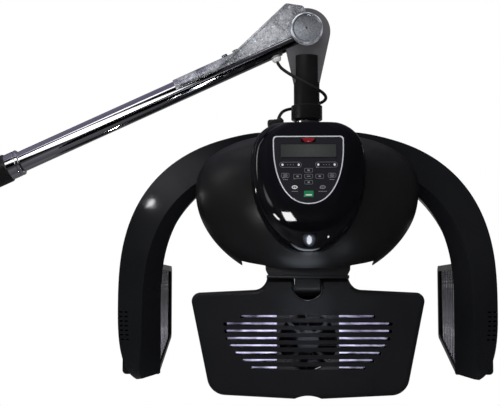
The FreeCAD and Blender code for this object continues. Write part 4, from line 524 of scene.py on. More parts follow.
def make_finishes():
    """Mixes every finish, under the names that NODE_FINISHES and the operators use."""
    chosen = settings().finishes
    turned_steel("turned_cap", chosen.steel, ELBOW)
    moulded("satin_black", chosen.satin_black, (0.34, 0.46), 0.00005, wave=0.0002, specular=0.25)
    moulded("gloss_black", chosen.gloss_black, (0.035, 0.10), 0.000003, dust=0.03, wear=0.1, specular=0.5)
    moulded("charcoal", chosen.charcoal, (0.33, 0.47), 0.00006, wave=0.0002, specular=0.16)
    moulded("arm_black", chosen.charcoal, (0.2, 0.3), 0.00002, specular=0.08)
    powder_coat("powder_black", chosen.powder_black)
    powder_coat("cast_grey", chosen.cast_grey)
    plated("chrome", chosen.chrome, (0.045, 0.12), 160.0, 0.00004)
    cast_chrome("cast_chrome", chosen.cast_chrome)
    turned_steel("shoulder_steel", chosen.steel, BOOM_PIVOT)
    plated("plain_steel", chosen.steel, (0.22, 0.36), 300.0, 0.00003, wear=0.5)
    plated("blackened_steel", chosen.blackened, (0.36, 0.50), 300.0, 0.00003, wear=0.3)
    moulded("white_plastic", chosen.white_plastic, (0.32, 0.46), 0.00003, dust=0.25, wear=0.2, specular=0.4)
    moulded("ceramic", chosen.ceramic, (0.45, 0.60), 0.00006, dust=0.1, wear=0.2, specular=0.4)
    keypad_film("keypad_film", chosen.film)
    moulded("silver_line", chosen.silver_line, (0.30, 0.42), 0.00001, dust=0.0, wear=0.1, specular=0.4,
            Metallic=0.25)
    display_glass("display_glass", chosen.display)
    red_lens("red_lens", chosen.lens_red)
    circuit_board("circuit_board", chosen.solder_mask)
    dimpled_reflector("reflector", chosen.reflector)
    bright_sheet("bright_sheet", chosen.reflector)
    quartz("quartz")
    plated("guard_wire", chosen.chrome, (0.10, 0.22), 400.0, 0.00003, wear=0.3)
    moulded("rubber", chosen.rubber, (0.42, 0.60), 0.00008, dust=0.08, wear=0.15)
    moulded("fan_black", chosen.fan, (0.16, 0.30), 0.00005, dust=0.15, specular=0.5)
    filter_mesh_and_shade("filter_mesh_and_shade", chosen.fan)
    printed("print_grey", chosen.print_grey)
    printed("print_white", chosen.print_white)
    printed("start_green", chosen.start_green, 0.3)
    coil_wire("coil_wire", chosen.coil)


NODE_FINISHES = {
    "powder_black": "wall_plate shoulder_fork boom_hub boom_sleeve post_tube post_collar",
    "cast_grey": "post_head",
    "plain_steel": "shoulder_pin elbow_pin arm_pins centre_hinge_pin bracket_fixings shell_screws",
    "blackened_steel": "head_chassis",
    "shoulder_steel": "shoulder_caps",
    "turned_cap": "elbow_caps",
    "chrome": "boom_tube boom_collar swivel_spindle",
    "cast_chrome": "elbow_bracket",
    "white_plastic": "cord_grommet",
    "rubber": "cord_plug cord_socket socket_bushes swivel_bush",
    "satin_black": "head_shell rear_shell neck_bracket",
    "gloss_black": "control_cover",
    "keypad_film": "keypad_panel",
    "silver_line": "panel_trim",
    "display_glass": "display_window",
    "red_lens": "status_lamp",
    "circuit_board": "control_board",
    "charcoal": "centre_shell centre_frame left_heater_housing right_heater_housing",
    "arm_black": "left_arm_shell right_arm_shell left_heater_rim right_heater_rim",
    "reflector": "left_reflector right_reflector",
    "bright_sheet": "centre_reflector",
    "quartz": "centre_lamps left_lamps right_lamps",
    "ceramic": "centre_lamp_holders left_lamp_holders right_lamp_holders",
    "guard_wire": "centre_guard left_guard right_guard",
    "fan_black": "centre_fan_frame centre_fan_rotor",
}


def dress(thing, look, body=None):
    """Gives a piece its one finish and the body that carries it."""
    thing.data.materials.clear()
    thing.data.materials.append(bpy.data.materials[look])
    if body:
        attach(thing, body)
    return thing


class PROCESSOR_OT_finishes(bpy.types.Operator):
    """Mix the finishes and give each solid its own"""

    bl_idname = "processor.finishes"
    bl_label = "Finishes"

    def execute(self, context):
        make_soft_edge_grain()
        make_tone()
        make_smudges()
        make_turned_rings()
        make_finishes()
        for look, names in NODE_FINISHES.items():
            for name in names.split():
                dress(frame["nodes"][name], look)
        return {"FINISHED"}


# ---------------------------------------------------------------- mesh helpers
SMOOTH_ANGLE = math.radians(32)


def new_piece(name, bm, smooth=False):
    """Turns a bmesh into an object of the scene; a smooth one still breaks at hard edges."""
    bmesh.ops.recalc_face_normals(bm, faces=bm.faces)
    mesh = bpy.data.meshes.new(name)
    bm.to_mesh(mesh)
    bm.free()
    thing = bpy.data.objects.new(name, mesh)
    bpy.context.scene.collection.objects.link(thing)
    if smooth:
        mesh.polygons.foreach_set("use_smooth", [True] * len(mesh.polygons))
        mesh.set_sharp_from_angle(angle=SMOOTH_ANGLE)
    return thing


def on_circle(share):
    """The point of the unit circle at a share of a full turn."""
    return Vector((math.cos(math.tau * share), math.sin(math.tau * share)))


def rounded_outline(width, height, corner, steps=5):
    """A rounded rectangle about the origin: sizes in millimetres, 2D points in metres."""
    corner = min(corner, width / 2, height / 2)
    points = []
    for quarter, (side, end) in enumerate(((1, 1), (-1, 1), (-1, -1), (1, -1))):
        centre = Vector((side * (width / 2 - corner), end * (height / 2 - corner)))
        points += [(centre + corner * on_circle((quarter + k / steps) / 4)) * MM for k in range(steps + 1)]
    return points


def ellipse_outline(width, height, steps=24):
    """An ellipse about the origin: sizes in millimetres, 2D points in metres."""
    return [on_circle(k / steps) * Vector((width / 2, height / 2)) * MM for k in range(steps)]


def shrink(points, share):
    middle = sum(points, Vector((0, 0))) / len(points)
    return [middle + (point - middle) * share for point in points]


def join_rings(bm, rings):
    """Faces between neighbouring rings of vertices."""
    count = len(rings[0])
    for ring, following in zip(rings, rings[1:]):
        for k in range(count):
            after = (k + 1) % count
            bm.faces.new((ring[k], ring[after], following[after], following[k]))


def moved_ring(bm, outline, height, x, y):
    """A ring of vertices at a height, moved to a spot in millimetres."""
    return [bm.verts.new((point.x + x * MM, point.y + y * MM, height)) for point in outline]


def add_plate(bm, outline, low, high, x, y, taper=0.0):
    """A flat plate between two heights at a spot in millimetres; taper draws its top in, in metres."""
    span = max(abs(point.x) for point in outline)
    below = moved_ring(bm, outline, low, x, y)
    above = moved_ring(bm, shrink(outline, 1 - taper / span), high, x, y)
    bm.faces.new(above)
    bm.faces.new(list(reversed(below)))
    join_rings(bm, [below, above])


def add_line(bm, outline, width, low, high, x, y):
    """A flat line of even width that follows an outline, on its inner side, at a spot in millimetres."""
    inner = []
    for before, here, after in zip(outline[-1:] + outline, outline, outline[1:] + outline[:1]):
        way = (after - before).normalized()
        inner.append(here + Vector((-way.y, way.x)) * width)
    rings = [moved_ring(bm, ring, height, x, y)
             for ring, height in ((outline, low), (outline, high), (inner, high), (inner, low))]
    join_rings(bm, rings + rings[:1])


def tube_along(points, radii, sides):
    """A round tube swept along points, closed at both ends; radii is one radius or a list for the points."""
    bm = bmesh.new()
    if not isinstance(radii, list):
        radii = [radii] * len(points)
    ways = [(after - before).normalized() for before, after in zip(points, points[1:])]
    ways.append(ways[-1])
    side = ways[0].orthogonal().normalized()
    turns = [on_circle(k / sides) for k in range(sides)]
    rings = []
    for point, way, reach in zip(points, ways, radii):
        side = (side - way * side.dot(way)).normalized()
        other = way.cross(side)
        rings.append([bm.verts.new(point + reach * (side * turn.x + other * turn.y)) for turn in turns])
    join_rings(bm, rings)
    bm.faces.new(list(reversed(rings[0])))
    bm.faces.new(rings[-1])
    return bm


def from_elbow(spot):
    """A spot given in millimetres from the elbow pivot."""
    return ELBOW + Vector(spot) * MM


# ---------------------------------------------------------------- keypad
def panel_matrix():
    """From the keypad's own plane (x across, y up its slope, z out of it) to the object's frame."""
    pad = settings().keypad
    origin = ELBOW + Vector((0, -pad.panel_front, -pad.panel_drop))
    return Matrix.Translation(origin) @ Matrix.Rotation(QUARTER_TURN - pad.panel_tilt, 4, "X")


def on_panel(name, bm, look):
    """Sets a piece that was drawn in the keypad's plane on the keypad."""
    bm.transform(panel_matrix())
    return dress(new_piece(name, bm), look, "head")


# Keys in millimetres in the keypad's plane: centre across, centre up, width, height, corner radius.
PILL_KEYS = [(-25.4, -43.0, 33.0, 8.6, 4.3), (25.4, -43.0, 33.0, 8.6, 4.3)]
CROSS_KEYS = [(0, -51.3, 12.4, 6.6, 1.8), (0, -60.2, 12.4, 6.8, 1.8), (0, -69.0, 12.4, 6.2, 1.8),
              (-15.6, -60.3, 12.4, 7.2, 2.2), (15.6, -60.3, 12.4, 7.2, 2.2)]
SIDE_KEYS = [(-33.0, -58.8, 12.0, 7.2, 2.4), (33.0, -58.8, 12.0, 7.2, 2.4)]
OVAL_KEYS = [(-19.8, -76.2, 9.2, 5.8), (19.8, -76.2, 9.2, 5.8)]
START_KEY = (0, -86.0, 13.6, 9.2, 1.4)
# Dashes under the keys: centre across, centre up and length of each row, then a dash's size and pitch.
DASH_ROWS = [(-32.8, -64.9, 9.0), (32.8, -64.9, 9.0), (-19.6, -82.3, 10.0), (19.6, -82.3, 13.5)]
DASH, DASH_PITCH = (1.7, 1.1, 0.3), 2.4
# Marks on the keys: width, height and corner of a bar, width, height and sides of a dot.
OVAL_DOT, PILL_DOT, PILL_SPOT = (1.6, 1.6, 12), (1.3, 1.3, 10), (3.0, 3.6, 14)
START_BAR, CROSS_BAR, MIDDLE_BAR = (9.0, 1.7, 0.8), (3.2, 2.4, 0.5), (5.2, 1.2, 0.5)
SIDE_BARS = ((-1, 5.4), (0, 7.0), (1, 5.4))
SIDE_BAR_HEIGHT, SIDE_BAR_CORNER, SIDE_BAR_PITCH = 0.8, 0.4, 1.8
PILL_DOT_PITCH, PILL_SPOT_REACH, START_BAR_DROP, MIDDLE_KEY, BRIGHT_OVAL = 4.0, 11.5, 1.6, 1, 0
# How far a pad's top is drawn in, where ink starts in a key's height, and each line's place and width.
PAD_TAPER, SMALL_PAD_TAPER, INK_START = 0.0008, 0.0006, 0.9
KEY_LINE_SHARE, OVAL_LINE_SHARE, KEY_LINE_TIMES, OVAL_LINE_TIMES = 0.95, 0.9, 0.8, 2.2


class PROCESSOR_OT_keypad(bpy.types.Operator):
    """Raise the membrane's keys and print their outlines and plain marks"""

    bl_idname = "processor.keypad"
    bl_label = "Keypad"

    def execute(self, context):
        pad = context.scene.processor.keypad
        lines, marks, pads, start = bmesh.new(), bmesh.new(), bmesh.new(), bmesh.new()
        rise, width_of_line = pad.key_rise, pad.line_width
        ink = (rise * INK_START, rise + pad.print_rise)
        for x, y, width, height, corner in PILL_KEYS + CROSS_KEYS + SIDE_KEYS:
            outline = rounded_outline(width, height, corner)
            add_plate(pads, outline, 0, rise, x, y, PAD_TAPER)
            add_line(lines, shrink(outline, KEY_LINE_SHARE), width_of_line * KEY_LINE_TIMES, *ink, x, y)
        for number, (x, y, width, height) in enumerate(OVAL_KEYS):
            outline = ellipse_outline(width, height)
            target = marks if number == BRIGHT_OVAL else lines
            add_plate(pads, outline, 0, rise, x, y, SMALL_PAD_TAPER)
            add_line(target, shrink(outline, OVAL_LINE_SHARE), width_of_line * OVAL_LINE_TIMES, *ink, x, y)
            add_plate(target, ellipse_outline(*OVAL_DOT), *ink, x, y)
        self.print_marks(lines, marks, ink)
        for row in DASH_ROWS:
            self.print_dashes(lines, pad.print_rise, *row)
        x, y, *size = START_KEY
        add_plate(start, rounded_outline(*size), 0, rise, x, y, SMALL_PAD_TAPER)
        add_plate(marks, rounded_outline(*START_BAR), *ink, x, y - START_BAR_DROP)
        on_panel("keypad_keys", pads, "keypad_film")
        on_panel("keypad_lines", lines, "print_grey")
        on_panel("keypad_marks", marks, "print_white")
        on_panel("start_key", start, "start_green")
        return {"FINISHED"}

    def print_marks(self, lines, marks, ink):
        """Plain marks: dots and bars that name nothing."""
        for x, y, *_ in PILL_KEYS:
            for step in (-1, 0, 1):
                add_plate(lines, ellipse_outline(*PILL_DOT), *ink, x + PILL_DOT_PITCH * step, y)
            for side in (-1, 1):
                add_plate(marks, ellipse_outline(*PILL_SPOT), *ink, x + PILL_SPOT_REACH * side, y)
        for number, (x, y, *_) in enumerate(CROSS_KEYS):
            bar = MIDDLE_BAR if number == MIDDLE_KEY else CROSS_BAR
            add_plate(lines, rounded_outline(*bar), *ink, x, y)
        for x, y, *_ in SIDE_KEYS:
            for step, reach in SIDE_BARS:
                bar = rounded_outline(reach, SIDE_BAR_HEIGHT, SIDE_BAR_CORNER)
                add_plate(lines, bar, *ink, x, y + SIDE_BAR_PITCH * step)

    def print_dashes(self, lines, thickness, x, y, length):
        """A row of dashes on the film."""
        count = int(length / DASH_PITCH)
        for k in range(count):
            along = (k - (count - 1) / 2) * DASH_PITCH
            add_plate(lines, rounded_outline(*DASH), 0, thickness, x + along, y)


# The display window in millimetres: its height, how far it stands out of the film, what the line round it
# adds to it, that line's width and corner, and the number, pitch, size and distance of the scale's ticks.
WINDOW_HEIGHT, WINDOW_PROUD, WINDOW_EDGE, WINDOW_LINE, WINDOW_CORNER = 19.0, 0.6, 1.6, 0.9, 1.2
TICKS, TICK_PITCH, TICK_SIZE, TICK_GAP = 12, 3.0, (1.0, 0.5, 0.2), 2.2


class PROCESSOR_OT_display(bpy.types.Operator):
    """Frame the display window and mark its scale"""

    bl_idname = "processor.display"
    bl_label = "Display"

    def execute(self, context):
        ink = context.scene.processor.keypad.print_rise
        low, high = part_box("display_window")
        inverse = panel_matrix().inverted()
        heights = [(inverse @ Vector((x, y, z))).y for x in (low.x, high.x) for y in (low.y, high.y)
                   for z in (low.z, high.z)]
        middle = (min(heights) + max(heights)) / 2 / MM
        width = (high.x - low.x) / MM
        lines = bmesh.new()
        outline = rounded_outline(width + WINDOW_EDGE, WINDOW_HEIGHT + WINDOW_EDGE, WINDOW_CORNER)
        add_line(lines, outline, WINDOW_LINE * MM, 0, WINDOW_PROUD * MM + ink, 0, middle)
        for k in range(TICKS):
            x, y = (k - (TICKS - 1) / 2) * TICK_PITCH, middle + WINDOW_HEIGHT / 2 + TICK_GAP
            add_plate(lines, rounded_outline(*TICK_SIZE), 0, ink, x, y)
        on_panel("display_frame", lines, "keypad_film")
        return {"FINISHED"}


# Half of the status lens's outline from its middle, in millimetres, how far it stands out of the film, and
# its rim's taper in metres; then the white spot painted on it to stand in for light: how far that stands out
# of the lens, its size and its drop.
LENS_HALF = ((9.6, 3.2), (8.2, 0.6), (4.4, -3.0))
LENS_RISE, LENS_TAPER, PAINTED_SPOT_RISE, PAINTED_SPOT_SIZE, PAINTED_SPOT_DROP = 0.9, 0.0004, 0.15, (2.0, 1.4, 12), 2.0


class PROCESSOR_OT_status_lens(bpy.types.Operator):
    """Shape the status lamp's lens, wide above and narrow below, with a white spot painted on its middle that
    stands in for light
    """

    bl_idname = "processor.status_lens"
    bl_label = "Status lens"

    def execute(self, context):
        low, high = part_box("status_lamp")
        x, y, _ = (panel_matrix().inverted() @ ((low + high) / 2)) / MM
        left = [Vector((-across, up)) * MM for across, up in LENS_HALF]
        right = [Vector((across, up)) * MM for across, up in reversed(LENS_HALF)]
        lens, painted_light_spot = bmesh.new(), bmesh.new()
        add_plate(lens, left + right, 0, LENS_RISE * MM, x, y, LENS_TAPER)
        # A white spot painted on the lens, standing in for light on it.
        add_plate(painted_light_spot, ellipse_outline(*PAINTED_SPOT_SIZE), 0, (LENS_RISE + PAINTED_SPOT_RISE) * MM, x, y - PAINTED_SPOT_DROP,
                  LENS_TAPER)
        piece = on_panel("status_lens", lens, "red_lens")
        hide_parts("status_lamp")
        on_panel("status_painted_light", painted_light_spot, "print_white")
        return {"FINISHED"}


# ---------------------------------------------------------------- cord
# The cord's route from the elbow pivot, in millimetres: the upper length, then the lower one to the plug.
CORD_UPPER = ((-43.8, 0, -46), (-40.5, -8, -54), (-31.5, -17, -63), (-18, -25, -73), (-2, -29, -83),
              (15, -26, -91), (27, -14, -97), (30, 3, -101.5), (22, 18.5, -105), (7.5, 26.5, -107.5),
              (-7, 27.2, -109.5))
CORD_LOWER = ((-7, 27.2, -109.5), (-20.8, 27.9, -111.4), (-32.3, 21.6, -114.6), (-39.6, 13.8, -121),
              (-42.8, 8.8, -130))


def cord_line(route):
    """Points along the smooth line that the route's points control."""
    data = bpy.data.curves.new("cord_route", "CURVE")
    data.dimensions = "3D"
    spline = data.splines.new("NURBS")
    spline.points.add(len(route) - 1)
    for point, spot in zip(spline.points, route):
        point.co = (*from_elbow(spot), 1)
    spline.order_u = 3
    spline.use_endpoint_u = True
    spline.resolution_u = 12
    curve = bpy.data.objects.new("cord_route", data)
    bpy.context.scene.collection.objects.link(curve)
    bpy.context.view_layer.update()
    mesh = bpy.data.meshes.new_from_object(curve)
    points = [vertex.co.copy() for vertex in mesh.vertices]
    bpy.data.objects.remove(curve)
    bpy.data.curves.remove(data)
    bpy.data.meshes.remove(mesh)
    return points


class PROCESSOR_OT_cord(bpy.types.Operator):
    """Lead the control cord from the boom, round the post, to its plug"""

    bl_idname = "processor.cord"
    bl_label = "Cord"

    def execute(self, context):
        cord = context.scene.processor.cord
        plug = bpy.data.objects["plug_grip"]
        runs = (("cord_upper_run", CORD_UPPER, "cord_upper", "boom", "post", "object", []),
                ("cord_lower_run", CORD_LOWER, "cord_lower", "post", "head", "plug", [plug]))
        for name, route, node, carried, carrying, end, on_it in runs:
            points = cord_line(route)
            piece = new_piece(name, tube_along(points, cord.diameter / 2, cord.sides), smooth=True)
            dress(piece, "rubber")
            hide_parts(node)
            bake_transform(piece)
        return {"FINISHED"}


# ---------------------------------------------------------------- plug
# The angled plug from the elbow pivot, in millimetres: the ends of its grip and of the boot for the cord.
PLUG_ENDS = ((-58.5, -1.0, -141.0), (-35.0, 4.0, -137.5))
BOOT_ENDS = ((-39.5, 5.0, -135.5), (-42.6, 8.6, -129.4))
# Along the grip and radius, then the same for the boot.
PLUG_PROFILE = ((0.0, 4.6), (0.6, 6.4), (2.2, 7.3), (6.0, 7.6), (7.0, 6.7), (8.0, 7.6), (9.6, 6.7),
                (10.6, 7.6), (12.2, 6.7), (13.2, 7.6), (14.8, 6.7), (15.8, 7.6), (20.5, 7.5), (22.6, 6.6),
                (23.6, 4.8))
BOOT_PROFILE = ((0.0, 5.2), (2.4, 4.8), (3.0, 4.1), (3.8, 4.5), (4.6, 3.8), (5.4, 4.1), (7.2, 3.0))
PLUG_SIDES = 28


def turned_piece(name, ends, profile):
    """A round piece of the plug between two ends, by distances along it and radii in millimetres."""
    start, end = (from_elbow(spot) for spot in ends)
    way = (end - start).normalized()
    points = [start + way * along * MM for along, _ in profile]
    radii = [radius * MM for _, radius in profile]
    piece = new_piece(name, tube_along(points, radii, PLUG_SIDES), smooth=True)
    return dress(piece, "rubber", "head")


class PROCESSOR_OT_plug(bpy.types.Operator):
    """Turn the cord's angled plug, with its grip rings and boot"""

    bl_idname = "processor.plug"
    bl_label = "Plug"

    def execute(self, context):
        grip = turned_piece("plug_grip", PLUG_ENDS, PLUG_PROFILE)
        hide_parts("cord_plug")
        turned_piece("plug_boot", BOOT_ENDS, BOOT_PROFILE)
        return {"FINISHED"}


# ---------------------------------------------------------------- lips, and the screen that paints shade behind the fan
# The scoop's rim as an arc in millimetres from the elbow pivot, and where it starts and how far it runs.
SCOOP_RADIUS, SCOOP_DROP, SCOOP_FRONT, SCOOP_BEAD = 24.3, 381.0, -15.2, 1.1
SCOOP_START, SCOOP_SWEEP, SCOOP_STEPS, SCOOP_SIDES = 190 / 360, 160 / 360, 32, 12
NECK_ENDS, NECK_BEAD, NECK_SIDES = ((-60.5, -26.4, -370.8), (60.5, -26.4, -370.8)), 2.6, 16
SCREEN_MIDDLE, SCREEN_RADIUS, SCREEN_THICKNESS, SCREEN_SIDES = (0, 52.0, -466.0), 46.0, 1.2, 48


class PROCESSOR_OT_lips(bpy.types.Operator):
    """Bead the scoop's rim and the neck's lower edge, and set the fan's black screen, which also paints the
    shade behind the fan
    """

    bl_idname = "processor.lips"
    bl_label = "Lips and screen"

    def execute(self, context):
        turns = [on_circle(SCOOP_START + SCOOP_SWEEP * k / SCOOP_STEPS) for k in range(SCOOP_STEPS + 1)]
        rim = [from_elbow((SCOOP_RADIUS * turn.x, SCOOP_FRONT, SCOOP_RADIUS * turn.y - SCOOP_DROP))
               for turn in turns]
        scoop = new_piece("scoop_rim", tube_along(rim, SCOOP_BEAD * MM, SCOOP_SIDES), smooth=True)
        dress(scoop, "gloss_black", "centre_heater")
        neck = [from_elbow(spot) for spot in NECK_ENDS]
        lip = new_piece("neck_lip", tube_along(neck, NECK_BEAD * MM, NECK_SIDES), smooth=True)
        dress(lip, "satin_black", "head")
        bm = bmesh.new()
        facing = Matrix.Translation(from_elbow(SCREEN_MIDDLE)) @ Matrix.Rotation(QUARTER_TURN, 4, "X")
        bmesh.ops.create_cone(bm, cap_ends=True, segments=SCREEN_SIDES, radius1=SCREEN_RADIUS * MM,
                              radius2=SCREEN_RADIUS * MM, depth=SCREEN_THICKNESS * MM, matrix=facing)
        dress(new_piece("fan_screen_and_shade", bm), "filter_mesh_and_shade", "centre_heater")
        return {"FINISHED"}


# ---------------------------------------------------------------- heating coils
LAMP_NODES = (("centre_lamps", "centre_heater"), ("left_lamps", "left_arm"), ("right_lamps", "right_arm"))
COIL_MARGIN, COIL_STEPS, WIRE_SIDES, SAME_SPOT = 0.012, 8, 5, 1e-6


def loose_boxes(mesh):
    """The boxes of a mesh's separate shells."""
    bm = bmesh.new()
    bm.from_mesh(mesh)
    bmesh.ops.remove_doubles(bm, verts=bm.verts, dist=SAME_SPOT)
    unseen = set(bm.verts)
    boxes = []
    while unseen:
        spots, edge_of = [], [unseen.pop()]
        while edge_of:
            vertex = edge_of.pop()
            spots.append(vertex.co)
            near = {edge.other_vert(vertex) for edge in vertex.link_edges} & unseen
            unseen -= near
            edge_of += near
        boxes.append([Vector(limit(spot[axis] for spot in spots) for axis in range(3))
                      for limit in (min, max)])
    bm.free()
    return sorted(boxes, key=lambda box: tuple(box[0]))


def coil_points(low, high, lamp):
    """The line of a coil that fills a quartz tube, given by the tube's box."""
    size = high - low
    longest = max(range(3), key=lambda axis: size[axis])
    start, end = (low + high) / 2, (low + high) / 2
    start[longest], end[longest] = low[longest], high[longest]
    way = (end - start).normalized()
    side = way.orthogonal().normalized()
    other = way.cross(side)
    length = (end - start).length - 2 * COIL_MARGIN
    turns = length / lamp.pitch
    steps = int(turns * COIL_STEPS)
    points = [start + way * COIL_MARGIN / 2]
    for k in range(steps + 1):
        turn = on_circle(turns * k / steps)
        centre = start + way * (COIL_MARGIN + length * k / steps)
        points.append(centre + lamp.coil_radius * (side * turn.x + other * turn.y))
    points.append(end - way * COIL_MARGIN / 2)
    return points


class PROCESSOR_OT_coils(bpy.types.Operator):
    """Wind a heating coil inside each quartz tube"""

    bl_idname = "processor.coils"
    bl_label = "Heating coils"

    def execute(self, context):
        lamp = context.scene.processor.lamp
        for node, body in LAMP_NODES:
            for number, (low, high) in enumerate(loose_boxes(frame["nodes"][node].data)):
                wire = tube_along(coil_points(low, high, lamp), lamp.wire_radius, WIRE_SIDES)
                piece = new_piece(f"{node}_coil_{number + 1}", wire, smooth=True)
                dress(piece, "coil_wire", body)
        return {"FINISHED"}


# ---------------------------------------------------------------- stage
WHITE, VIOLET = (1, 1, 1), (0.90, 0.88, 1.0)
LAMP_BLUE, PALE_BLUE, BLUE = (0.86, 0.90, 1.0), (0.80, 0.88, 1.0), (0.70, 0.80, 1.0)
# Softboxes: name, place off the head, width, height and power. The head is this far off the elbow pivot.
HEAD_OFFSET = (0, 0, -0.25)
SOFTBOXES = (("overhead_softbox", (-0.5, -0.7, 1.9), 1.7, 1.0, 34),
             ("left_softbox", (-2.1, -1.5, 0.55), 0.7, 1.3, 12),
             ("right_softbox", (2.2, -1.1, 0.5), 0.5, 1.3, 7))
FLOOR_TONES, FLOOR_ROUGHNESS, FLOOR_SIDES = ((0.86, 0.86, 0.86, 1), (0.90, 0.90, 0.90, 1)), 0.7, 96
# The floor's middle as a share of the elbow's reach, and the share of its radius where it starts to fade.
FLOOR_REACH, FLOOR_FADE = 0.7, 0.45


def add_softbox(name, offset, width, height, power):
    """A soft lamp that shines on the head and shows in no reflection."""
    light = bpy.data.lights.new(name, "AREA")
    light.shape, light.size, light.size_y = "RECTANGLE", width, height
    light.energy = power
    lamp = bpy.data.objects.new(name, light)
    bpy.context.scene.collection.objects.link(lamp)
    lamp.location = ELBOW + Vector(HEAD_OFFSET) + Vector(offset)
    lamp.rotation_mode = "QUATERNION"
    lamp.rotation_quaternion = (-Vector(offset)).to_track_quat("-Z", "Y")
    lamp.visible_glossy = False


def make_camera(stage):
    data = bpy.data.cameras.new("camera")
    camera = bpy.data.objects.new("camera", data)
    bpy.context.scene.collection.objects.link(camera)
    bpy.context.scene.camera = camera
    data.sensor_width = 36.0
    data.lens = stage.focal_pixels * data.sensor_width / VIEW_WIDTH
    camera.location = ELBOW + Vector(stage.camera_offset)
    camera.rotation_euler = (QUARTER_TURN + stage.camera_pitch, 0, stage.camera_yaw)
    return camera


def make_world(fill):
    """A white world for the camera and reflections, and a weaker one as light."""
    world = bpy.data.worlds.new("studio")
    bpy.context.scene.world = world
    world.use_nodes = True
    wire = Wiring(world.node_tree)
    inputs = world.node_tree.nodes["Background"].inputs
    inputs["Color"].default_value = (*WHITE, 1)
    path = wire.node("ShaderNodeLightPath").outputs
    bent = wire.math("MAXIMUM", path["Is Glossy Ray"], path["Is Transmission Ray"])
    seen = wire.math("MAXIMUM", path["Is Camera Ray"], bent)
    wire.put(inputs["Strength"], wire.ramp(seen, 0.0, 1.0, fill, 1.0))


def make_floor(stage):
    """A pale round floor that fades out into the white."""
    bm = bmesh.new()
    bmesh.ops.create_circle(bm, cap_ends=True, segments=FLOOR_SIDES, radius=stage.floor_radius)
    floor = new_piece("studio_floor", bm)
    floor.location = (ELBOW.x * FLOOR_REACH, 0, -stage.floor_drop)
    look = Finish("studio_floor", Roughness=FLOOR_ROUGHNESS)
    look.set(Base_Color=look.mix(look.clouds(60.0, (0.3, 0.7)), *FLOOR_TONES))
    reach = look.vector("LENGTH", look.place())["Value"]
    fade = look.ramp(reach, stage.floor_radius * FLOOR_FADE, stage.floor_radius)
    clear = look.node("ShaderNodeBsdfTransparent").outputs["BSDF"]
    joined = look.node("ShaderNodeMixShader", {0: fade, 1: look.shader.outputs["BSDF"], 2: clear})
    look.put(look.tree.nodes["Material Output"].inputs["Surface"], joined.outputs["Shader"])
    floor.data.materials.append(look.material)
    floor.visible_glossy = False


# ---------------------------------------------------------------- what gloss and chrome mirror
# The room: the sine of the height looked at, and the colour there.
ROOM_TONES = ((-1.00, (0.12, 0.12, 0.13)), (-0.80, (0.14, 0.14, 0.155)), (-0.62, (0.18, 0.18, 0.20)),
              (-0.45, (0.09, 0.09, 0.10)), (-0.15, (0.04, 0.04, 0.05)), (0.05, (0.08, 0.08, 0.09)),
              (0.30, (0.04, 0.04, 0.05)), (0.60, (0.10, 0.10, 0.13)), (0.73, (0.24, 0.225, 0.32)),
              (0.88, (0.17, 0.16, 0.24)), (1.00, (0.13, 0.12, 0.18)))
ROOM_OFFSET, ROOM_RADIUS, ROOM_BACK, ROOM_SLOPE, ROOM_CLEARANCE = (0, 0, -0.2), 3.0, 1.8, 0.7, 0.02
# Soft cards: name, middle off the elbow pivot, half its width, half its height, strength and colour. In turn
# they show on the dome's top, along the tube, under the cover, in the heater's slots, nowhere (it keeps the
# slots' card off the cover), on the elbow casting, on what is seen edge-on, and on the left side.
SOFT_CARDS = (
    ("window_strip", (-0.445, -0.32, 0.235), (0.30, -0.03, 0.12), (0.0, 0.045, 0.045), 3.2, WHITE),
    ("tube_card", (-0.36, -0.13, -0.128), BOOM_WAY * 0.26, (0, 0, 0.062), 5.0, WHITE),
    ("under_card", (-0.01, -0.060, -0.388), (0.055, 0, 0), (0, 0.020, 0), 3.4, PALE_BLUE),
    ("slot_card", (0.01, -0.90, -0.515), (0.24, 0, 0), (0, 0, 0.07), 2.6, VIOLET),
    ("dark_shelf", (0, -0.45, -0.40), (0.32, 0, 0), (0, 0.25, 0), 0.0, WHITE),
    ("bracket_card", (-0.08, -0.18, 0.022), BOOM_WAY * 0.16, (0, 0, 0.05), 1.3, WHITE),
    ("back_card", (0, 1.7, -0.30), (1.3, 0, 0), (0, 0, 1.1), 0.25, WHITE),
    ("left_card", (-1.65, -1.20, -0.02), (0.20, -0.25, 0), (0, 0, 0.22), 2.0, WHITE))
# Windows by the points of the view where they show: the piece, how far off it the card stands, its strength
# and its corners.
PANE_GLINTS = (
    ("control_cover", 0.08, 22.0, ((281.8, 211.7), (290.8, 212.3), (296.5, 220.7), (286.5, 220.7))),
    ("control_cover", 0.08, 22.0, ((273.2, 214.0), (275.2, 214.0), (279.8, 219.3), (278.5, 220.0))),
    ("left_arm_shell", 0.02, 130.0, ((145.7, 207.3), (150.0, 200.0), (155.0, 199.3), (152.7, 206.0))))
# Lamps on the cover by the points of the view where they show: middle and half sizes. The first has a halo.
ROUND_GLINTS = ((309.2, 240.0, 2.4, 4.6), (328.5, 236.7, 0.9, 1.0))
ROUND_REACH, ROUND_SIDES, ROUND_STRENGTH = 0.12, 10, 20.0
HALO_REACH, HALO_STEP, HALO_SIZE, HALO_STRENGTH = 0.15, 1.5, 6.5, 2.4
# Keeps a weight by distance finite at a corner.
LEAST_DISTANCE = 1e-5


def only_in_reflections(thing, colour, strength):
    """Makes a piece glow, and show to gloss alone; returns its look."""
    look = Finish(thing.name, Base_Color=(0, 0, 0, 1), Specular_IOR_Level=0, Emission_Color=(*colour, 1),
                  Emission_Strength=strength)
    thing.data.materials.append(look.material)
    thing.visible_camera = False
    thing.visible_diffuse = False
    thing.visible_shadow = False
    thing.visible_transmission = False
    return look


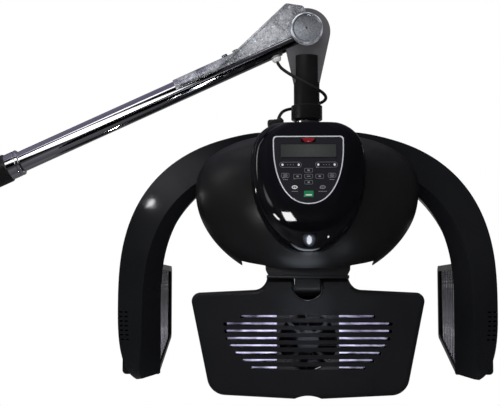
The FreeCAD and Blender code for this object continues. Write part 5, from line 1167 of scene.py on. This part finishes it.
def make_room(stage):
    """A shell round the object, open at the back: dark below, lit windows on the left above."""
    middle = ELBOW + Vector(ROOM_OFFSET)
    floor = -stage.floor_drop - middle.z + ROOM_CLEARANCE
    bm = bmesh.new()
    bmesh.ops.create_uvsphere(bm, u_segments=64, v_segments=32, radius=ROOM_RADIUS)
    middles = [(face, face.calc_center_median()) for face in bm.faces]
    behind = [face for face, spot in middles if spot.y > ROOM_BACK + ROOM_SLOPE * max(spot.z, 0)]
    bmesh.ops.delete(bm, geom=behind, context="FACES")
    for vertex in bm.verts:
        vertex.co.z = max(vertex.co.z, floor)
    room = new_piece("room_shell", bm)
    room.location = middle
    look = only_in_reflections(room, WHITE, 1.0)
    way = look.vector("NORMALIZE", look.place())["Vector"]
    parts = look.node("ShaderNodeSeparateXYZ", {"Vector": way}).outputs
    scale = look.node("ShaderNodeValToRGB", {"Fac": look.ramp(parts["Z"], -1.0, 1.0)})
    marks = scale.color_ramp.elements
    for k, (height, colour) in enumerate(ROOM_TONES):
        mark = marks[k] if k < 1 else marks.new((height + 1) / 2)
        mark.position = (height + 1) / 2
        mark.color = (*colour, 1)
    marks.remove(marks[-1])
    lit_side = look.ramp(parts["X"], 0.55, -0.20, 0.25, 1.0)
    level = look.math("MULTIPLY", lit_side, look.clouds(2.2, (0.3, 0.7), (0.55, 1.45), where=way))
    look.set(Emission_Color=scale.outputs["Color"],
             Emission_Strength=look.math("MULTIPLY", level, stage.room_level))


def make_card(name, corners, strength, colour=WHITE):
    """A small glowing card that shows only in reflections."""
    middle = sum(corners, Vector()) / len(corners)
    bm = bmesh.new()
    bm.faces.new([bm.verts.new(corner - middle) for corner in corners])
    card = new_piece(name, bm)
    card.location = middle
    return only_in_reflections(card, colour, strength)


def make_soft_card(name, offset, across, up, strength, colour):
    """A card about a spot off the elbow that fades out towards its rim, given by two half sides."""
    middle, across, up = ELBOW + Vector(offset), Vector(across), Vector(up)
    corners = [middle - across - up, middle + across - up, middle + across + up, middle - across + up]
    look = make_card(name, corners, strength, colour)
    squares = []
    for way in (across, up):
        share = look.vector("DOT_PRODUCT", look.place(), tuple(way / way.length_squared))["Value"]
        squares.append(look.math("MULTIPLY", share, share))
    look.set(Emission_Strength=look.ramp(look.math("ADD", *squares), 1.0, 0.0, 0.0, strength))


def mirrored(name, camera, x, y, reach):
    """The spot at a distance off a node whose reflection shows at a point of the view."""
    thing = frame["nodes"][name]
    out_of = Vector((x - VIEW_WIDTH / 2, VIEW_HEIGHT / 2 - y, -settings().stage.focal_pixels))
    way = (camera.rotation_euler.to_matrix() @ out_of).normalized()
    found, spot, _, face = thing.ray_cast(camera.location, way)
    if not found:
        raise ValueError(f"{name} doesn't show at {x}, {y}")
    mesh = thing.data
    normal = Vector()
    for loop in mesh.polygons[face].loop_indices:
        away = (mesh.vertices[mesh.loops[loop].vertex_index].co - spot).length + LEAST_DISTANCE
        normal += mesh.corner_normals[loop].vector / away
    return spot + reach * way.reflect(normal.normalized())


def make_glints(camera):
    """Cards that show as windows and as two lamps."""
    for number, (name, reach, strength, corners) in enumerate(PANE_GLINTS):
        spots = [mirrored(name, camera, x, y, reach) for x, y in corners]
        make_card(f"window_pane_{number + 1}", spots, strength)
    x, y, *_ = ROUND_GLINTS[0]
    middle = mirrored("control_cover", camera, x, y, HALO_REACH)
    across = mirrored("control_cover", camera, x + HALO_STEP, y, HALO_REACH) - middle
    up = mirrored("control_cover", camera, x, y - HALO_STEP, HALO_REACH) - middle
    grow = HALO_SIZE / HALO_STEP
    make_soft_card("light_halo", middle - ELBOW, across * grow, up * grow, HALO_STRENGTH, BLUE)
    turns = [on_circle(k / ROUND_SIDES) for k in range(ROUND_SIDES)]
    for number, (x, y, wide, high) in enumerate(ROUND_GLINTS):
        rim = [mirrored("control_cover", camera, x + wide * turn.x, y + high * turn.y, ROUND_REACH)
               for turn in turns]
        make_card(f"round_light_{number + 1}", rim, ROUND_STRENGTH, LAMP_BLUE)


class PROCESSOR_OT_stage(bpy.types.Operator):
    """Set the camera, the floor, the soft lights and the room"""

    bl_idname = "processor.stage"
    bl_label = "Stage"

    def execute(self, context):
        stage = context.scene.processor.stage
        camera = make_camera(stage)
        make_world(stage.fill_level)
        make_floor(stage)
        make_room(stage)
        make_glints(camera)
        for card in SOFT_CARDS:
            make_soft_card(*card)
        for softbox in SOFTBOXES:
            add_softbox(*softbox)
        context.scene.view_settings.view_transform = "Standard"
        return {"FINISHED"}


# ---------------------------------------------------------------- add-on
class ProcessorSettings(bpy.types.PropertyGroup):
    """All settings of the processor."""

    finishes: PointerProperty(type=FinishSettings)
    keypad: PointerProperty(type=KeypadSettings)
    cord: PointerProperty(type=CordSettings)
    lamp: PointerProperty(type=LampSettings)
    stage: PointerProperty(type=StageSettings)


OPERATORS = (PROCESSOR_OT_stage, PROCESSOR_OT_finishes, PROCESSOR_OT_plug, PROCESSOR_OT_cord,
             PROCESSOR_OT_keypad, PROCESSOR_OT_display, PROCESSOR_OT_status_lens, PROCESSOR_OT_lips,
             PROCESSOR_OT_coils)


class PROCESSOR_PT_panel(bpy.types.Panel):
    """Lists the operators, one button each"""

    bl_idname = "PROCESSOR_PT_panel"
    bl_label = "Hair colour processor"
    bl_space_type = "VIEW_3D"
    bl_region_type = "UI"
    bl_category = "Processor"

    def draw(self, context):
        for operator in OPERATORS:
            self.layout.operator(operator.bl_idname)


CLASSES = (FinishSettings, KeypadSettings, CordSettings, LampSettings, StageSettings, ProcessorSettings,
           *OPERATORS, PROCESSOR_PT_panel)


def register():
    for cls in CLASSES:
        bpy.utils.register_class(cls)
    bpy.types.Scene.processor = PointerProperty(type=ProcessorSettings)


def unregister():
    del bpy.types.Scene.processor
    for cls in reversed(CLASSES):
        bpy.utils.unregister_class(cls)


def main():
    register()
    bpy.ops.processor.stage()
    bpy.ops.processor.finishes()
    bpy.ops.processor.plug()
    bpy.ops.processor.cord()
    bpy.ops.processor.keypad()
    bpy.ops.processor.display()
    bpy.ops.processor.status_lens()
    bpy.ops.processor.lips()
    bpy.ops.processor.coils()


if __name__ == "__main__":
    main()
